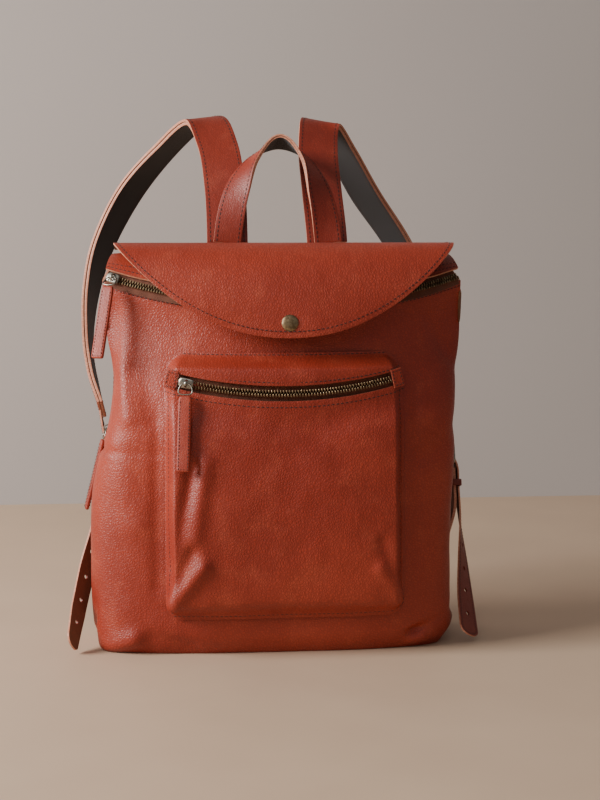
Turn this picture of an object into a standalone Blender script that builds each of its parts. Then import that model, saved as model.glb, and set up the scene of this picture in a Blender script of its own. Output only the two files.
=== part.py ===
"""Leather backpack with a snap flap, a front pocket, a side zip and two buckled shoulder straps.

Metres, +Z up. The bag stands on z = 0 with its front facing -Y and its back panel at +Y.
The origin is the middle of the base.
"""

import math

import bmesh
import bpy
from mathutils import Matrix, Vector

# Driving dimensions of the bag.
HEIGHT = 0.3425  # top edge of the back panel
RIM_HALF = 0.157
BACK_HALF = 0.148
WALL_LEVELS = (0, 0.018, 0.038, 0.066, 0.13, 0.21, 0.30, 0.39, 0.48, 0.57, 0.66, 0.75, 0.84, 0.92, 1)
RIGHT_HALVES = (0.1500, 0.1475, 0.1480, 0.1500, 0.1505, 0.1520, 0.1570, 0.1570)  # evenly from the floor up
LEFT_FOOT_HALF = 0.170  # the left side has slumped outwards low down
BACK_Y = 0.055
BACK_TOP_Y = 0.046
SEAM_Y = -0.006  # where the front wrap meets the side gussets
FRONT_DEPTH = 0.052  # from the gusset seam to the middle of the front
RIM_DEPTH = 0.042
LEFT_WAIST, DENT_RADIUS = 0.1486, 0.232  # the dent in the left side that the side zip follows
SIDE_ZIP_Y, SIDE_ZIP_Z = 0.018, 0.2455
SIDE_ZIP_SHARE = 0.34  # how far the gusset has drawn in to the back panel's width where the side zip runs
LINING_INSET = 0.0074
LEATHER = 0.0020
LINING = 0.0010
SEAM_GAP = 0.0020
SLOT_HALF = 0.0065  # half the leather window that a zip shows in
FOLD_Y, FOLD_Z = -0.018, 0.3540  # the line that the flap folds on
MOUTH_Y, MOUTH_Z = 0.0500, 0.3470  # the line that the top cap turns back on
FLAP_HALF = 0.147
FLAP_CURVE = 2.15
SNAP_Z = 0.2870
BOXINESS = 3.2  # how square the front wrap's corners are, where 2 is an ellipse
POCKET_X = -0.0035  # the pocket sits a little to the left
POCKET_HALF = 0.1025
POCKET_LOW, POCKET_HIGH = 0.0335, 0.2610
CHAIN_HALF, CHAIN_THICK, CHAIN_DEPTH = 0.0029, 0.0018, 0.0026
TAPE_HALF, TAPE_THICK, TAPE_DEPTH = 0.0085, 0.0007, 0.0050
TAB_WIDTH, TAB_THICK = 0.0115, 0.0036
HANDLE_ROOT = (0, 0.0530, 0.3525)
BELT_WIDTH = 0.0210
STACK_X = 0.1617  # the plane of each buckle's frame, out from the middle

MATERIALS = {
    "leather": ((0.42, 0.075, 0.038), 0.45, 0.0),
    "zip_tape": ((0.26, 0.06, 0.02), 0.85, 0.0),
    "dark_cloth": ((0.012, 0.012, 0.014), 0.8, 0.0),
    "lining_cloth": ((0.20, 0.12, 0.07), 0.9, 0.0),
    "antique_brass": ((0.16, 0.12, 0.07), 0.35, 1.0),
    "nickel": ((0.50, 0.48, 0.44), 0.25, 1.0),
    "board": ((0.25, 0.20, 0.14), 0.9, 0.0),
}


# ---------------------------------------------------------------- helpers


def clear_scene():
    for obj in list(bpy.data.objects):
        bpy.data.objects.remove(obj)


def material(name):
    found = bpy.data.materials.get(name)
    if found:
        return found
    colour, roughness, metallic = MATERIALS[name]
    made = bpy.data.materials.new(name)
    made.use_nodes = True
    shader = made.node_tree.nodes["Principled BSDF"]
    shader.inputs["Base Color"].default_value = (*colour, 1.0)
    shader.inputs["Roughness"].default_value = roughness
    shader.inputs["Metallic"].default_value = metallic
    return made


def add_object(name, mesh, slot):
    mesh.materials.append(material(slot))
    obj = bpy.data.objects.new(name, mesh)
    bpy.context.scene.collection.objects.link(obj)
    return obj


def smooth(t):
    t = min(max(t, 0.0), 1.0)
    return t * t * (3 - 2 * t)


def mix(a, b, t):
    return a + (b - a) * t


def curve_through(keys, t):
    """Catmull-Rom value at t, from 0 to 1, through evenly spaced keys, which are numbers or vectors."""
    spans = len(keys) - 1
    place = min(max(t, 0.0), 1.0) * spans
    i = min(int(place), spans - 1)
    u = place - i
    p0, p1, p2, p3 = (keys[min(max(i + k, 0), spans)] for k in (-1, 0, 1, 2))
    return 0.5 * (
        2 * p1 + (p2 - p0) * u + (2 * p0 - 5 * p1 + 4 * p2 - p3) * u**2 + (3 * p1 - p0 - 3 * p2 + p3) * u**3
    )


def sheet(name, rows, slot, thickness, cut=()):
    """A skin through rows of points, given its thickness inwards. Rows run right, from low to high."""
    mesh = bpy.data.meshes.new(name)
    bm = bmesh.new()
    grid = [[bm.verts.new(p) for p in row] for row in rows]
    for low, high in zip(grid, grid[1:]):
        for a, b, c, d in zip(low, low[1:], high[1:], high):
            bm.faces.new((a, b, c, d))
    bm.to_mesh(mesh)
    bm.free()
    mesh.shade_smooth()
    obj = add_object(name, mesh, slot)
    solid = obj.modifiers.new("thickness", "SOLIDIFY")
    solid.thickness = thickness
    solid.offset = -1.0
    solid.use_even_offset = True
    for cutter in cut:
        hole = obj.modifiers.new("hole", "BOOLEAN")
        hole.operation = "DIFFERENCE"
        hole.object = cutter
    return obj


def loft(name, rings, slot, smooth_it=True):
    """A closed solid through rings of points, with both ends capped.

    Opposite sides of a ring are split along the same diagonal, so layers of a twisted strap stay apart.
    """
    mesh = bpy.data.meshes.new(name)
    bm = bmesh.new()
    loops = [[bm.verts.new(p) for p in ring] for ring in rings]
    for a, b in zip(loops, loops[1:]):
        for i in range(len(a)):
            j = (i + 1) % len(a)
            if 2 * i < len(a):
                halves = ((a[i], a[j], b[j]), (a[i], b[j], b[i]))
            else:
                halves = ((a[i], a[j], b[i]), (a[j], b[j], b[i]))
            for half in halves:
                bm.faces.new(half)
    bm.faces.new(list(reversed(loops[0])))
    bm.faces.new(loops[-1])
    bmesh.ops.recalc_face_normals(bm, faces=bm.faces)
    bm.to_mesh(mesh)
    bm.free()
    if smooth_it:
        mesh.shade_smooth()
        mesh.set_sharp_from_angle(angle=math.radians(35))
    return add_object(name, mesh, slot)


def frame_at(origin, out, up):
    """The matrix whose Z is out and whose Y leans to up."""
    z = Vector(out).normalized()
    x = Vector(up).cross(z).normalized()
    y = z.cross(x)
    made = Matrix((x, y, z)).transposed().to_4x4()
    made.translation = Vector(origin)
    return made


def turned(name, profile, place, slot, segments=20):
    """A solid of revolution about the local Z axis from (radius, height) pairs, going round its section."""
    mesh = bpy.data.meshes.new(name)
    bm = bmesh.new()
    rings = []
    for radius, height in profile:
        if radius < 1e-6:
            rings.append([bm.verts.new((0, 0, height))])
            continue
        turns = [2 * math.pi * k / segments for k in range(segments)]
        rings.append([bm.verts.new((radius * math.cos(a), radius * math.sin(a), height)) for a in turns])
    closed = rings[0] if len(rings[0]) > 1 and len(rings[-1]) > 1 else None
    pairs = list(zip(rings, rings[1:]))
    if closed:
        pairs.append((rings[-1], rings[0]))
    for a, b in pairs:
        for k in range(segments):
            n = (k + 1) % segments
            corners = [a[k % len(a)], a[n % len(a)], b[n % len(b)], b[k % len(b)]]
            kept = []
            for corner in corners:
                if corner not in kept:
                    kept.append(corner)
            bm.faces.new(kept)
    bmesh.ops.recalc_face_normals(bm, faces=bm.faces)
    bm.to_mesh(mesh)
    bm.free()
    mesh.shade_smooth()
    mesh.set_sharp_from_angle(angle=math.radians(35))
    obj = add_object(name, mesh, slot)
    obj.matrix_world = place
    return obj


def cutter_box(name, low, high, place=None):
    bpy.ops.mesh.primitive_cube_add(size=1.0)
    obj = bpy.context.object
    obj.name = name
    low, high = Vector(low), Vector(high)
    obj.data.transform(Matrix.Diagonal((*(high - low), 1.0)))
    obj.data.transform(Matrix.Translation((low + high) / 2))
    obj.matrix_world = place or Matrix()
    obj.hide_render = True
    obj.display_type = "WIRE"
    return obj


def cutter_rod(name, place, radius, length):
    bpy.ops.mesh.primitive_cylinder_add(vertices=16, radius=radius, depth=length)
    obj = bpy.context.object
    obj.name = name
    obj.matrix_world = place
    obj.hide_render = True
    obj.display_type = "WIRE"
    return obj


class Ribbon:
    """A strap's middle line with the way that its outer face looks, both smoothed through a few keys."""

    def __init__(self, points, outs, steps):
        self.points = [Vector(p) for p in points]
        self.outs = [Vector(n).normalized() for n in outs]
        self.steps = steps

    def station(self, t):
        step = 0.004
        here = curve_through(self.points, t)
        along = (curve_through(self.points, t + step) - curve_through(self.points, t - step)).normalized()
        out = curve_through(self.outs, t)
        out = (out - along * out.dot(along)).normalized()
        return here, along, out, along.cross(out)

    def length(self):
        ends = [curve_through(self.points, k / 60) for k in range(61)]
        return sum((b - a).length for a, b in zip(ends, ends[1:]))

    def solid(self, name, width, low, high, slot, first=0, last=None, round_end=False):
        """A strip between two heights over the middle line, from one of its steps to another."""
        stops = [k / self.steps for k in range(first, (self.steps if last is None else last) + 1)]
        if round_end:
            stops[-1:] = [1 - 0.6 / self.steps, 1 - 0.3 / self.steps, 1 - 0.1 / self.steps, 1.0]
        rings = []
        for t in stops:
            here, _, out, side = self.station(t)
            half = width(t) / 2 if callable(width) else width / 2
            if round_end:
                past = max(1 - (1 - t) * self.length() / half, 0.0)
                half *= math.sqrt(max(1 - past**2, 0.09))
            corners = ((1, low), (1, high), (-1, high), (-1, low))
            rings.append([here + side * a * half + out * b for a, b in corners])
        return loft(name, rings, slot)


class ZipTrack:
    """A zip on a circular arc, where its teeth meet. Its band is part of a cone about the arc's axis."""

    def __init__(self, middle, down, along, radius, half_angle, lean):
        self.down, self.along = Vector(down).normalized(), Vector(along).normalized()
        self.axis = self.down.cross(self.along)
        self.centre = Vector(middle) - self.down * radius
        self.radius, self.half_angle, self.lean = radius, half_angle, math.radians(lean)

    def station(self, angle):
        radial = self.down * math.cos(angle) + self.along * math.sin(angle)
        tangent = self.along * math.cos(angle) - self.down * math.sin(angle)
        across = self.axis * math.cos(self.lean) - radial * math.sin(self.lean)
        return self.centre + radial * self.radius, tangent, across, tangent.cross(across)

    def point(self, angle, across_by, lift=0.0):
        here, _, across, out = self.station(angle)
        return here + across * across_by + out * lift

    def strip(self, name, low, high, under, over, slot, start, end, steps):
        """A bar along part of the zip, from low to high across it and from under to over through it."""
        rings = []
        for k in range(steps + 1):
            angle = mix(start, end, k / steps)
            near, far = (side(angle / self.half_angle) if callable(side) else side for side in (low, high))
            corners = ((near, under), (near, over), (far, over), (far, under))
            rings.append([self.point(angle, across, lift) for across, lift in corners])
        return loft(name, rings, slot)


SIDE_ZIP_X = mix(LEFT_WAIST, BACK_HALF, SIDE_ZIP_SHARE)
MAIN_ZIP = ZipTrack((0, -0.052, 0.3040), (0, -0.886, -0.464), (1, 0, 0), 0.2837, math.radians(33.6), 50)
POCKET_ZIP = ZipTrack((POCKET_X, -0.0700, 0.2275), (0, -1, -1), (1, 0, 0), 0.286, math.radians(19.5), 45)
SIDE_ZIP_RADIUS = DENT_RADIUS / (1 - SIDE_ZIP_SHARE)
SIDE_ZIP_MIDDLE = (-SIDE_ZIP_X, SIDE_ZIP_Y, SIDE_ZIP_Z)
SIDE_ZIP = ZipTrack(SIDE_ZIP_MIDDLE, (1, 0, 0), (0, 0, 1), SIDE_ZIP_RADIUS, math.radians(10.5), 180)

# Each pull's zip, the slider's angle on it, the way it faces, and its ring's and tab's lean in degrees.
PULLS = (
    ("main", MAIN_ZIP, -31.4, (-0.46, -0.885, 0), 46, 19),
    ("pocket", POCKET_ZIP, -17.0, (-0.2, -0.98, 0), 14, 12),
    ("side", SIDE_ZIP, -9.2, (-1, -0.12, 0), 17, 14),
)


# The grab handle and the shoulder straps: points of the middle line, and the way that the outside looks there.
HANDLE = Ribbon(
    [(-0.0475, 0.0520, 0.3075), (-0.0460, 0.0530, 0.3525), (-0.0375, 0.0580, 0.3955), (-0.0215, 0.0665, 0.4275),
     (0.0030, 0.0725, 0.4440), (0.0260, 0.0665, 0.4285), (0.0390, 0.0580, 0.3955), (0.0460, 0.0530, 0.3525),
     (0.0475, 0.0520, 0.3075)],
    [(0, -1, 0), (0, -1, 0), (-0.45, -0.9, 0.1), (-0.75, -0.25, 0.6), (0, 0.42, 0.9), (0.75, -0.25, 0.6),
     (0.45, -0.9, 0.1), (0, -1, 0), (0, -1, 0)],
    40,
)

LEFT_STRAP = Ribbon(
    [(-0.0460, 0.0575, 0.3075), (-0.0455, 0.0590, 0.3525), (-0.0465, 0.0760, 0.4005), (-0.0520, 0.0980, 0.4415),
     (-0.0660, 0.1250, 0.4665), (-0.0980, 0.1580, 0.4415), (-0.1330, 0.1780, 0.4005), (-0.1600, 0.1820, 0.3495),
     (-0.1725, 0.1700, 0.3025), (-0.1750, 0.1450, 0.2575), (-0.1690, 0.1120, 0.2225),
     (-0.1612, 0.0850, 0.1985)],
    [(0, -1, 0), (0, -1, 0.1), (-0.05, -0.9, 0.4), (-0.1, -0.5, 0.85), (-0.3, 0.2, 0.9), (-0.55, 0.45, 0.7),
     (-0.7, 0.6, 0.4), (-0.85, 0.5, 0.2), (-0.95, 0.3, 0.05), (-0.99, 0.1, -0.1), (-0.97, 0.2, -0.1),
     (-0.97, 0.2, 0)],
    44,
)

RIGHT_STRAP = Ribbon(
    [(0.0460, 0.0575, 0.3075), (0.0455, 0.0590, 0.3525), (0.0425, 0.0780, 0.4005), (0.0410, 0.0960, 0.4375),
     (0.0470, 0.1200, 0.4640), (0.0690, 0.1470, 0.4395), (0.0960, 0.1680, 0.3975), (0.1290, 0.1820, 0.3525),
     (0.1520, 0.1740, 0.3055), (0.1640, 0.1480, 0.2595), (0.1660, 0.1130, 0.2235), (0.1612, 0.0850, 0.1985)],
    [(0, -1, 0), (0, -1, 0.1), (0.05, -0.9, 0.4), (0.1, -0.5, 0.85), (0.3, 0.2, 0.9), (0.55, 0.45, 0.7),
     (0.7, 0.6, 0.4), (0.85, 0.5, 0.2), (0.95, 0.3, 0.05), (0.99, 0.1, -0.1), (0.97, 0.2, -0.1),
     (0.97, 0.2, 0)],
    44,
)


# ---------------------------------------------------------------- the bag's outer shape


def base_inset(z):
    """How far the wall draws in where it turns under."""
    return 0.010 * (1 - min(z / 0.022, 1.0)) ** 2


def half_width(z, side):
    """From the middle to the widest line of one side, -1 left and 1 right."""
    if side > 0:
        return curve_through(RIGHT_HALVES, z / HEIGHT) - base_inset(z)
    knee, reach = 0.1725, 0.135
    if z > knee:
        return min(LEFT_WAIST + (z - SIDE_ZIP_Z) ** 2 / (2 * DENT_RADIUS), RIM_HALF)
    at_knee = LEFT_WAIST + (knee - SIDE_ZIP_Z) ** 2 / (2 * DENT_RADIUS)
    slope = (SIDE_ZIP_Z - knee) / DENT_RADIUS
    u = min((knee - z) / reach, 1.0)
    return mix(at_knee, LEFT_FOOT_HALF, u * u * (3 - 2 * u)) + slope * reach * u * (1 - u) ** 2 - base_inset(z)


def front_depth(z):
    depths = (FRONT_DEPTH, 0.0545, 0.0550, 0.0535, 0.0515, 0.0470, RIM_DEPTH, RIM_DEPTH)
    return curve_through(depths, z / HEIGHT) - base_inset(z)


def arc_share(across):
    """How far the zip's arc stands forward of its ends, from 1 in the middle to 0 at the ends."""
    top = math.cos(MAIN_ZIP.half_angle)
    lean = math.cos(math.asin(min(abs(across), 1.0) * math.sin(MAIN_ZIP.half_angle)))
    return (lean - top) / (1 - top)


def front_y(x, z):
    """The outer face of the front wrap."""
    across = min(abs(x) / half_width(z, x), 1.0)
    boxy = (1 - across**BOXINESS) ** (1 / BOXINESS)
    return SEAM_Y - front_depth(z) * mix(boxy, arc_share(across), smooth((z - 0.1975) / 0.10))


def rim_z(across):
    """The top edge of the front wrap, just under the main zip's window."""
    return MAIN_ZIP.point(math.asin(abs(across) * math.sin(MAIN_ZIP.half_angle)), -SLOT_HALF).z


def back_y(z):
    return mix(BACK_Y, BACK_TOP_Y, smooth((z - 0.1875) / 0.16)) - base_inset(z)


def gusset_x(z, share, side):
    """The side gusset, from the front seam at share 0 to the back seam at share 1."""
    return side * mix(half_width(z, side), BACK_HALF - base_inset(z), share**1.3)


def wall_x(y, z, side):
    share = (y - SEAM_Y - SEAM_GAP) / (back_y(z) - LEATHER - SEAM_Y - 2 * SEAM_GAP)
    return gusset_x(z, min(max(share, 0.0), 1.0), side)


def wrap_shares(columns):
    """Places across the front wrap, closer together where it turns its corners."""
    turns = [math.pi * (1 - i / columns) for i in range(columns + 1)]
    return [math.copysign(abs(math.cos(turn)) ** (2 / BOXINESS), math.cos(turn)) for turn in turns]


# ---------------------------------------------------------------- shell


def build_shell(stud_hole):
    rows = []
    for level in WALL_LEVELS:
        row = []
        for across in wrap_shares(26):
            across *= 0.997
            z = rim_z(across) * level
            half = mix(half_width(z, across), RIM_HALF, smooth((level - 0.6) / 0.4))
            row.append((across * half, front_y(across * half_width(z, across), z), z))
        rows.append(row)
    sheet("front_panel", rows, "leather", LEATHER, [stud_hole])

    reach = SIDE_ZIP.radius * math.sin(SIDE_ZIP.half_angle) + 0.0015
    window = cutter_box(
        "side_window",
        (-0.175, SIDE_ZIP_Y - SLOT_HALF, SIDE_ZIP_Z - reach),
        (-0.130, SIDE_ZIP_Y + SLOT_HALF, SIDE_ZIP_Z + reach),
    )
    for side, name in ((-1, "left_gusset"), (1, "right_gusset")):
        rows = []
        for level in WALL_LEVELS:
            row = []
            for i in range(7):
                share = i / 6
                z = mix(0.3245, 0.3390, share) * level
                y = mix(SEAM_Y + SEAM_GAP, back_y(z) - LEATHER - SEAM_GAP, share)
                row.append((gusset_x(z, share, side), y, z))
            rows.append(row if side > 0 else row[::-1])
        sheet(name, rows, "leather", LEATHER, [window] if side < 0 else [])

    rows = []
    for level in WALL_LEVELS:
        z = HEIGHT * level
        half = gusset_x(z, 1, 1) + 0.0005
        spots = (1, 0.75, 0.5, 0.25, 0, -0.25, -0.5, -0.75, -1)
        rows.append([(half * a, back_y(z) + 0.003 * (1 - a**2), z) for a in spots])
    sheet("back_panel", rows, "leather", LEATHER)


def plan_ring(z, inset, front_columns, height=None):
    """The bag's plan at height z, drawn in by inset and laid at another height where one is given."""
    height = z if height is None else height
    ring = []
    for across in wrap_shares(front_columns):
        half = half_width(z, across)
        ring.append((across * (half - inset), front_y(across * half, z) + inset, height))
    back = back_y(z) - inset
    for side in (1, -1):
        edge = [(wall_x(SIDE_ZIP_Y, z, side) - side * inset, SIDE_ZIP_Y, height)]
        edge.append((wall_x(back, z, side) - side * inset, back, height))
        ring += edge[::side]
    return ring


def build_base():
    loft("base_panel", [plan_ring(0, 0.0034, 20, h) for h in (0.0, LEATHER)], "leather", False)
    loft("base_board", [plan_ring(0, 0.0042, 20, h) for h in (0.0024, 0.0044)], "board", False)


def build_lining():
    levels = (0.0060, 0.0125, 0.022, 0.035, 0.060, 0.100, 0.140, 0.180, 0.220, 0.250, 0.2795)
    outer = [plan_ring(z, LINING_INSET, 18) for z in levels]
    inner = [plan_ring(z, LINING_INSET + LINING, 18) for z in reversed(levels[1:])]
    inner.append(plan_ring(0.0060, LINING_INSET + LINING, 18, 0.0060 + LINING))
    loft("lining", outer + inner, "lining_cloth", False)
    rows = []
    for k in range(6):
        z = mix(0.035, 0.175, k / 5)
        bulge = 0.006 * k / 5
        face = back_y(z) - LINING_INSET - 2 * LINING - 0.0012
        rows.append([(0.105 * a, face - bulge * (1 - a**4), z) for a in (-1, -0.67, -0.33, 0, 0.33, 0.67, 1)])
    sheet("slip_pocket", rows, "lining_cloth", LINING)


# ---------------------------------------------------------------- zips


def tape_reach(share):
    """The tape's free edge, drawn in at the zip's ends."""
    return mix(TAPE_HALF, 0.0066, abs(share) ** 4)


def build_zip(track, name, upper, lower, margin, steps):
    """Two cloth tapes and two rows of teeth. upper and lower name the zip's sides."""
    for side, sign in ((upper, 1), (lower, -1)):
        edges = sorted(((0.0016 * sign, 0), (TAPE_HALF * sign, 1)))
        low, high = ((lambda s: sign * tape_reach(s)) if free else at for at, free in edges)
        reach = track.half_angle - margin
        under, over = -TAPE_DEPTH, TAPE_THICK - TAPE_DEPTH
        track.strip(f"{name}_tape_{side}", low, high, under, over, "zip_tape", -reach, reach, steps)
        low, high = sorted((sign * 0.00015, sign * CHAIN_HALF))
        under, over = -CHAIN_DEPTH, CHAIN_THICK - CHAIN_DEPTH
        track.strip(f"{name}_chain_{side}", low, high, under, over, "antique_brass", -reach, reach, steps)


def build_slider(track, name, angle, upright):
    """The slider's top shell and the bail that its ring hangs on. Returns the ring's place in the bail."""
    here, tangent, across, out = track.station(angle)
    outline = [(-0.0065, 0.0022), (-0.0040, 0.0045), (0.0030, 0.0045), (0.0060, 0.0038)]
    plan = outline + [(a, -b) for a, b in reversed(outline)]
    rings = []
    for height, scale in ((0.0, 1.0), (0.0010, 0.98), (0.0018, 0.80)):
        rings.append([here + tangent * a * scale + across * b * scale + out * height for a, b in plan])
    body = loft(name, rings, "nickel")
    span, wide = (tangent, across) if upright else (across, tangent)
    bail = []
    for k in range(9):
        turn = math.pi * k / 8
        radial = span * -math.cos(turn) + out * math.sin(turn)
        middle = here + span * (-0.0030 * math.cos(turn)) + out * (0.0010 + 0.0040 * math.sin(turn))
        section = ((0.0006, 0.0011), (0.0006, -0.0011), (-0.0006, -0.0011), (-0.0006, 0.0011))
        bail.append([middle + radial * a + wide * b for a, b in section])
    arch = loft(name + "_bail", bail, "nickel")
    arch.hide_render = True
    arch.display_type = "WIRE"
    join = body.modifiers.new("bail", "BOOLEAN")
    join.operation = "UNION"
    join.object = arch
    return here + out * 0.0030


def wire_loop(name, points, plane_normal, wire, slot):
    """A closed loop of round wire through points that lie in one plane."""
    mesh = bpy.data.meshes.new(name)
    bm = bmesh.new()
    loops = []
    for k, point in enumerate(points):
        ahead = (points[(k + 1) % len(points)] - points[k - 1]).normalized()
        sideways = ahead.cross(plane_normal).normalized()
        turns = [math.pi * (2 * q + 1) / 6 for q in range(6)]
        ring = [point + (sideways * math.cos(a) + plane_normal * math.sin(a)) * wire for a in turns]
        loops.append([bm.verts.new(p) for p in ring])
    for a, b in zip(loops, loops[1:] + loops[:1]):
        for q in range(6):
            bm.faces.new((a[q], a[(q + 1) % 6], b[(q + 1) % 6], b[q]))
    bmesh.ops.recalc_face_normals(bm, faces=bm.faces)
    bm.to_mesh(mesh)
    bm.free()
    mesh.shade_smooth()
    return add_object(name, mesh, slot)


def rounded(turn, power):
    """A point of a rounded square of half side 1."""
    x = math.copysign(abs(math.sin(turn)) ** power, math.sin(turn))
    return x, math.copysign(abs(math.cos(turn)) ** power, math.cos(turn))


def build_pull(prefix, hang, face, ring_lean, tab_lean):
    """A wire ring through the slider's bail and a leather tab on it, each at its own lean from the plumb."""
    face = Vector(face).normalized()
    side = Vector((0, 0, 1)).cross(face)
    down = Vector((0, 0, -1)) * math.cos(ring_lean) + face * math.sin(ring_lean)
    half, drop = TAB_WIDTH / 2 + 0.0012, 0.0095
    points = []
    for k in range(20):
        wide, tall = rounded(2 * math.pi * k / 20, 0.75)
        taper = mix(0.62, 1.0, (1 - tall) / 2)
        points.append(hang + side * half * wide * taper + down * drop * (1 - tall) / 2)
    wire_loop(prefix + "_ring", points, down.cross(side), 0.0006, "nickel")

    bar = hang + down * drop
    down = Vector((0, 0, -1)) * math.cos(tab_lean) + face * math.sin(tab_lean)
    front = down.cross(side)
    rings = []
    sections = [(0.0012, 0.8, 0.8), (0.003, 0.96, 1), (0.024, 1, 1), (0.046, 1, 1), (0.063, 1, 1)]
    sections.append((0.065, 0.93, 0.8))
    for along, scale, thin in sections:
        wide, thick = TAB_WIDTH / 2 * scale, TAB_THICK / 2 * thin
        corners = ((1, -0.5), (1, 0.5), (0.75, 1), (-0.75, 1), (-1, 0.5), (-1, -0.5), (-0.75, -1), (0.75, -1))
        rings.append([bar + down * along + side * a * wide + front * b * thick for a, b in corners])
    loft(prefix + "_tab", rings, "leather")
    return bar


def build_zips():
    build_zip(MAIN_ZIP, "main", "upper", "lower", math.radians(0.7), 22)
    build_zip(POCKET_ZIP, "pocket", "upper", "lower", math.radians(0.8), 12)
    build_zip(SIDE_ZIP, "side", "back", "front", math.radians(0.2), 8)
    for side, name in ((-1, "left"), (1, "right")):
        ends = sorted((side * POCKET_ZIP.half_angle * 0.965, side * POCKET_ZIP.half_angle * 1.055))
        POCKET_ZIP.strip(f"pocket_end_tab_{name}", -0.0078, 0.0078, 0.0004, 0.0018, "leather", *ends, 2)
    bars = {}
    for name, track, angle, face, ring_lean, tab_lean in PULLS:
        hang = build_slider(track, name + "_slider", math.radians(angle), name == "side")
        bar = build_pull(name, hang, face, math.radians(ring_lean), math.radians(tab_lean))
        bars[name] = (hang, bar)
    return bars


# ---------------------------------------------------------------- flap, top cap and snap


def flap_profile(t, x):
    """The flap's outer face at a share t of its drop from the fold, as (y, z)."""
    p0, p1, p2, p3 = (-0.0188, 0.3537), (-0.0480, 0.3550), (-0.0665, 0.3305), (-0.0710, 0.2745)
    weights = ((1 - t) ** 3, 3 * t * (1 - t) ** 2, 3 * t * t * (1 - t), t**3)
    y = sum(w * p[0] for w, p in zip(weights, (p0, p1, p2, p3)))
    z = sum(w * p[1] for w, p in zip(weights, (p0, p1, p2, p3)))
    return y + 0.016 * t * (x / FLAP_HALF) ** 2, z


def flap_reach(x):
    """The share of the drop that the flap's round edge reaches at x."""
    return max(1 - (abs(x) / FLAP_HALF) ** FLAP_CURVE, 0.0) ** (1 / FLAP_CURVE)


def flap_rows(half, margin, lift):
    rows = []
    columns, levels = 22, 8
    for k in range(levels + 1):
        row = []
        for i in range(columns + 1):
            x = half * math.sin(math.pi / 2 * (2 * i / columns - 1))
            reach = max(flap_reach(x) - margin, 0.05)
            t = mix(reach, 0.012, k / levels)
            y, z = flap_profile(t, x)
            ahead = flap_profile(t + 0.01, x)
            along = Vector((0, ahead[0] - y, ahead[1] - z)).normalized()
            out = Vector((0, along.z, -along.y))
            row.append(Vector((x, y, z)) + out * lift)
        rows.append(row)
    return rows


def cap_point(across, share):
    """The top cap's outer face, from its edge over the zip at 0 to the back at 1."""
    angle = MAIN_ZIP.half_angle * across
    front = MAIN_ZIP.point(angle, SLOT_HALF)
    back = Vector((0.1435 * across, BACK_TOP_Y - 0.0046, HEIGHT - 0.0010))
    bow = mix(0.020, 0.0045, abs(across) ** 2.2) * 4 * share * (1 - share) * (1.25 - 0.5 * share)
    return front.lerp(back, share) + Vector((0, 0, bow))


def build_top(snap_hole):
    rows = [[cap_point(2 * i / 20 - 1, k / 6) for i in range(21)] for k in range(7)]
    sheet("top_cap", rows, "leather", LEATHER)
    rows = []
    for k in range(6):
        t = k / 5
        y = mix(FOLD_Y + 0.0006, MOUTH_Y - 0.0006, t)
        z = mix(FOLD_Z - 0.0002, MOUTH_Z + 0.0012, t) + 0.0014 * 4 * t * (1 - t)
        rows.append([(0.1490 * (2 * i / 12 - 1), y, z) for i in range(13)])
    sheet("flap_crown", rows, "leather", 0.0018)
    sheet("flap", flap_rows(FLAP_HALF - 0.0005, 0.0, 0.0), "leather", 0.0016, [snap_hole])
    sheet("flap_lining", flap_rows(FLAP_HALF - 0.004, 0.03, -0.0023), "dark_cloth", 0.0007, [snap_hole])


def snap_axis():
    """The snap's place on the flap's outer face and the way that it looks."""
    t = 0.5
    for _ in range(40):
        y, z = flap_profile(t, 0)
        t += (z - SNAP_Z) * 8
    ahead = flap_profile(t + 0.01, 0)
    along = Vector((0, ahead[0] - y, ahead[1] - z)).normalized()
    return Vector((0, y, z)), Vector((0, along.z, -along.y))


def build_snap(place, panel_gap):
    """The cap and socket ride on the flap. The stud and its washer are set in the front panel."""
    cap = [
        (0.0, 0.0019), (0.0045, 0.0017), (0.0066, 0.0010), (0.0072, 0.0003),
        (0.0021, 0.0003), (0.0021, -0.0034), (0.0, -0.0034),
    ]
    turned("snap_cap", cap, place, "antique_brass")
    socket = [
        (0.0024, -0.0035), (0.0064, -0.0035), (0.0064, -0.0070),
        (0.0048, -0.0070), (0.0048, -0.0044), (0.0024, -0.0044),
    ]
    turned("snap_socket", socket, place, "antique_brass")
    head, low = -0.0048, -panel_gap
    stud = [
        (0.0, head), (0.0022, head), (0.0026, head - 0.0008), (0.0021, head - 0.0016), (0.0021, low + 0.0021),
        (0.0056, low + 0.0017), (0.0056, low + 0.0009), (0.0019, low + 0.0009),
        (0.0019, low - 0.0034), (0.0, low - 0.0034),
    ]
    turned("snap_stud", stud, place, "antique_brass")
    washer = [(0.0022, low - 0.0028), (0.0050, low - 0.0028), (0.0050, low - 0.0034), (0.0022, low - 0.0034)]
    turned("snap_washer", washer, place, "antique_brass")


# ---------------------------------------------------------------- front pocket


def pocket_half(z):
    """Half the pocket's width at a height, with its round top and bottom corners."""
    top = max(z - (POCKET_HIGH - 0.024), 0.0) / 0.024
    low = max((POCKET_LOW + 0.016) - z, 0.0) / 0.016
    top_draw = 0.020 * (1 - math.sqrt(max(1 - top**2, 0.0)))
    low_draw = 0.012 * (1 - math.sqrt(max(1 - low**2, 0.0)))
    return POCKET_HALF - top_draw - low_draw


def pocket_depth(z):
    """How far the pocket's full face stands off the front panel."""
    depths = (0.0165, 0.0185, 0.0195, 0.0190, 0.0178, 0.0160, 0.0135, 0.0120, 0.0110)
    return curve_through(depths, (z - POCKET_LOW) / (POCKET_HIGH - POCKET_LOW))


def pocket_zip_edge(x, across):
    """The pocket's leather edge above or below its zip, at x."""
    return POCKET_ZIP.point(math.asin((x - POCKET_X) / POCKET_ZIP.radius), across)


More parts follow.
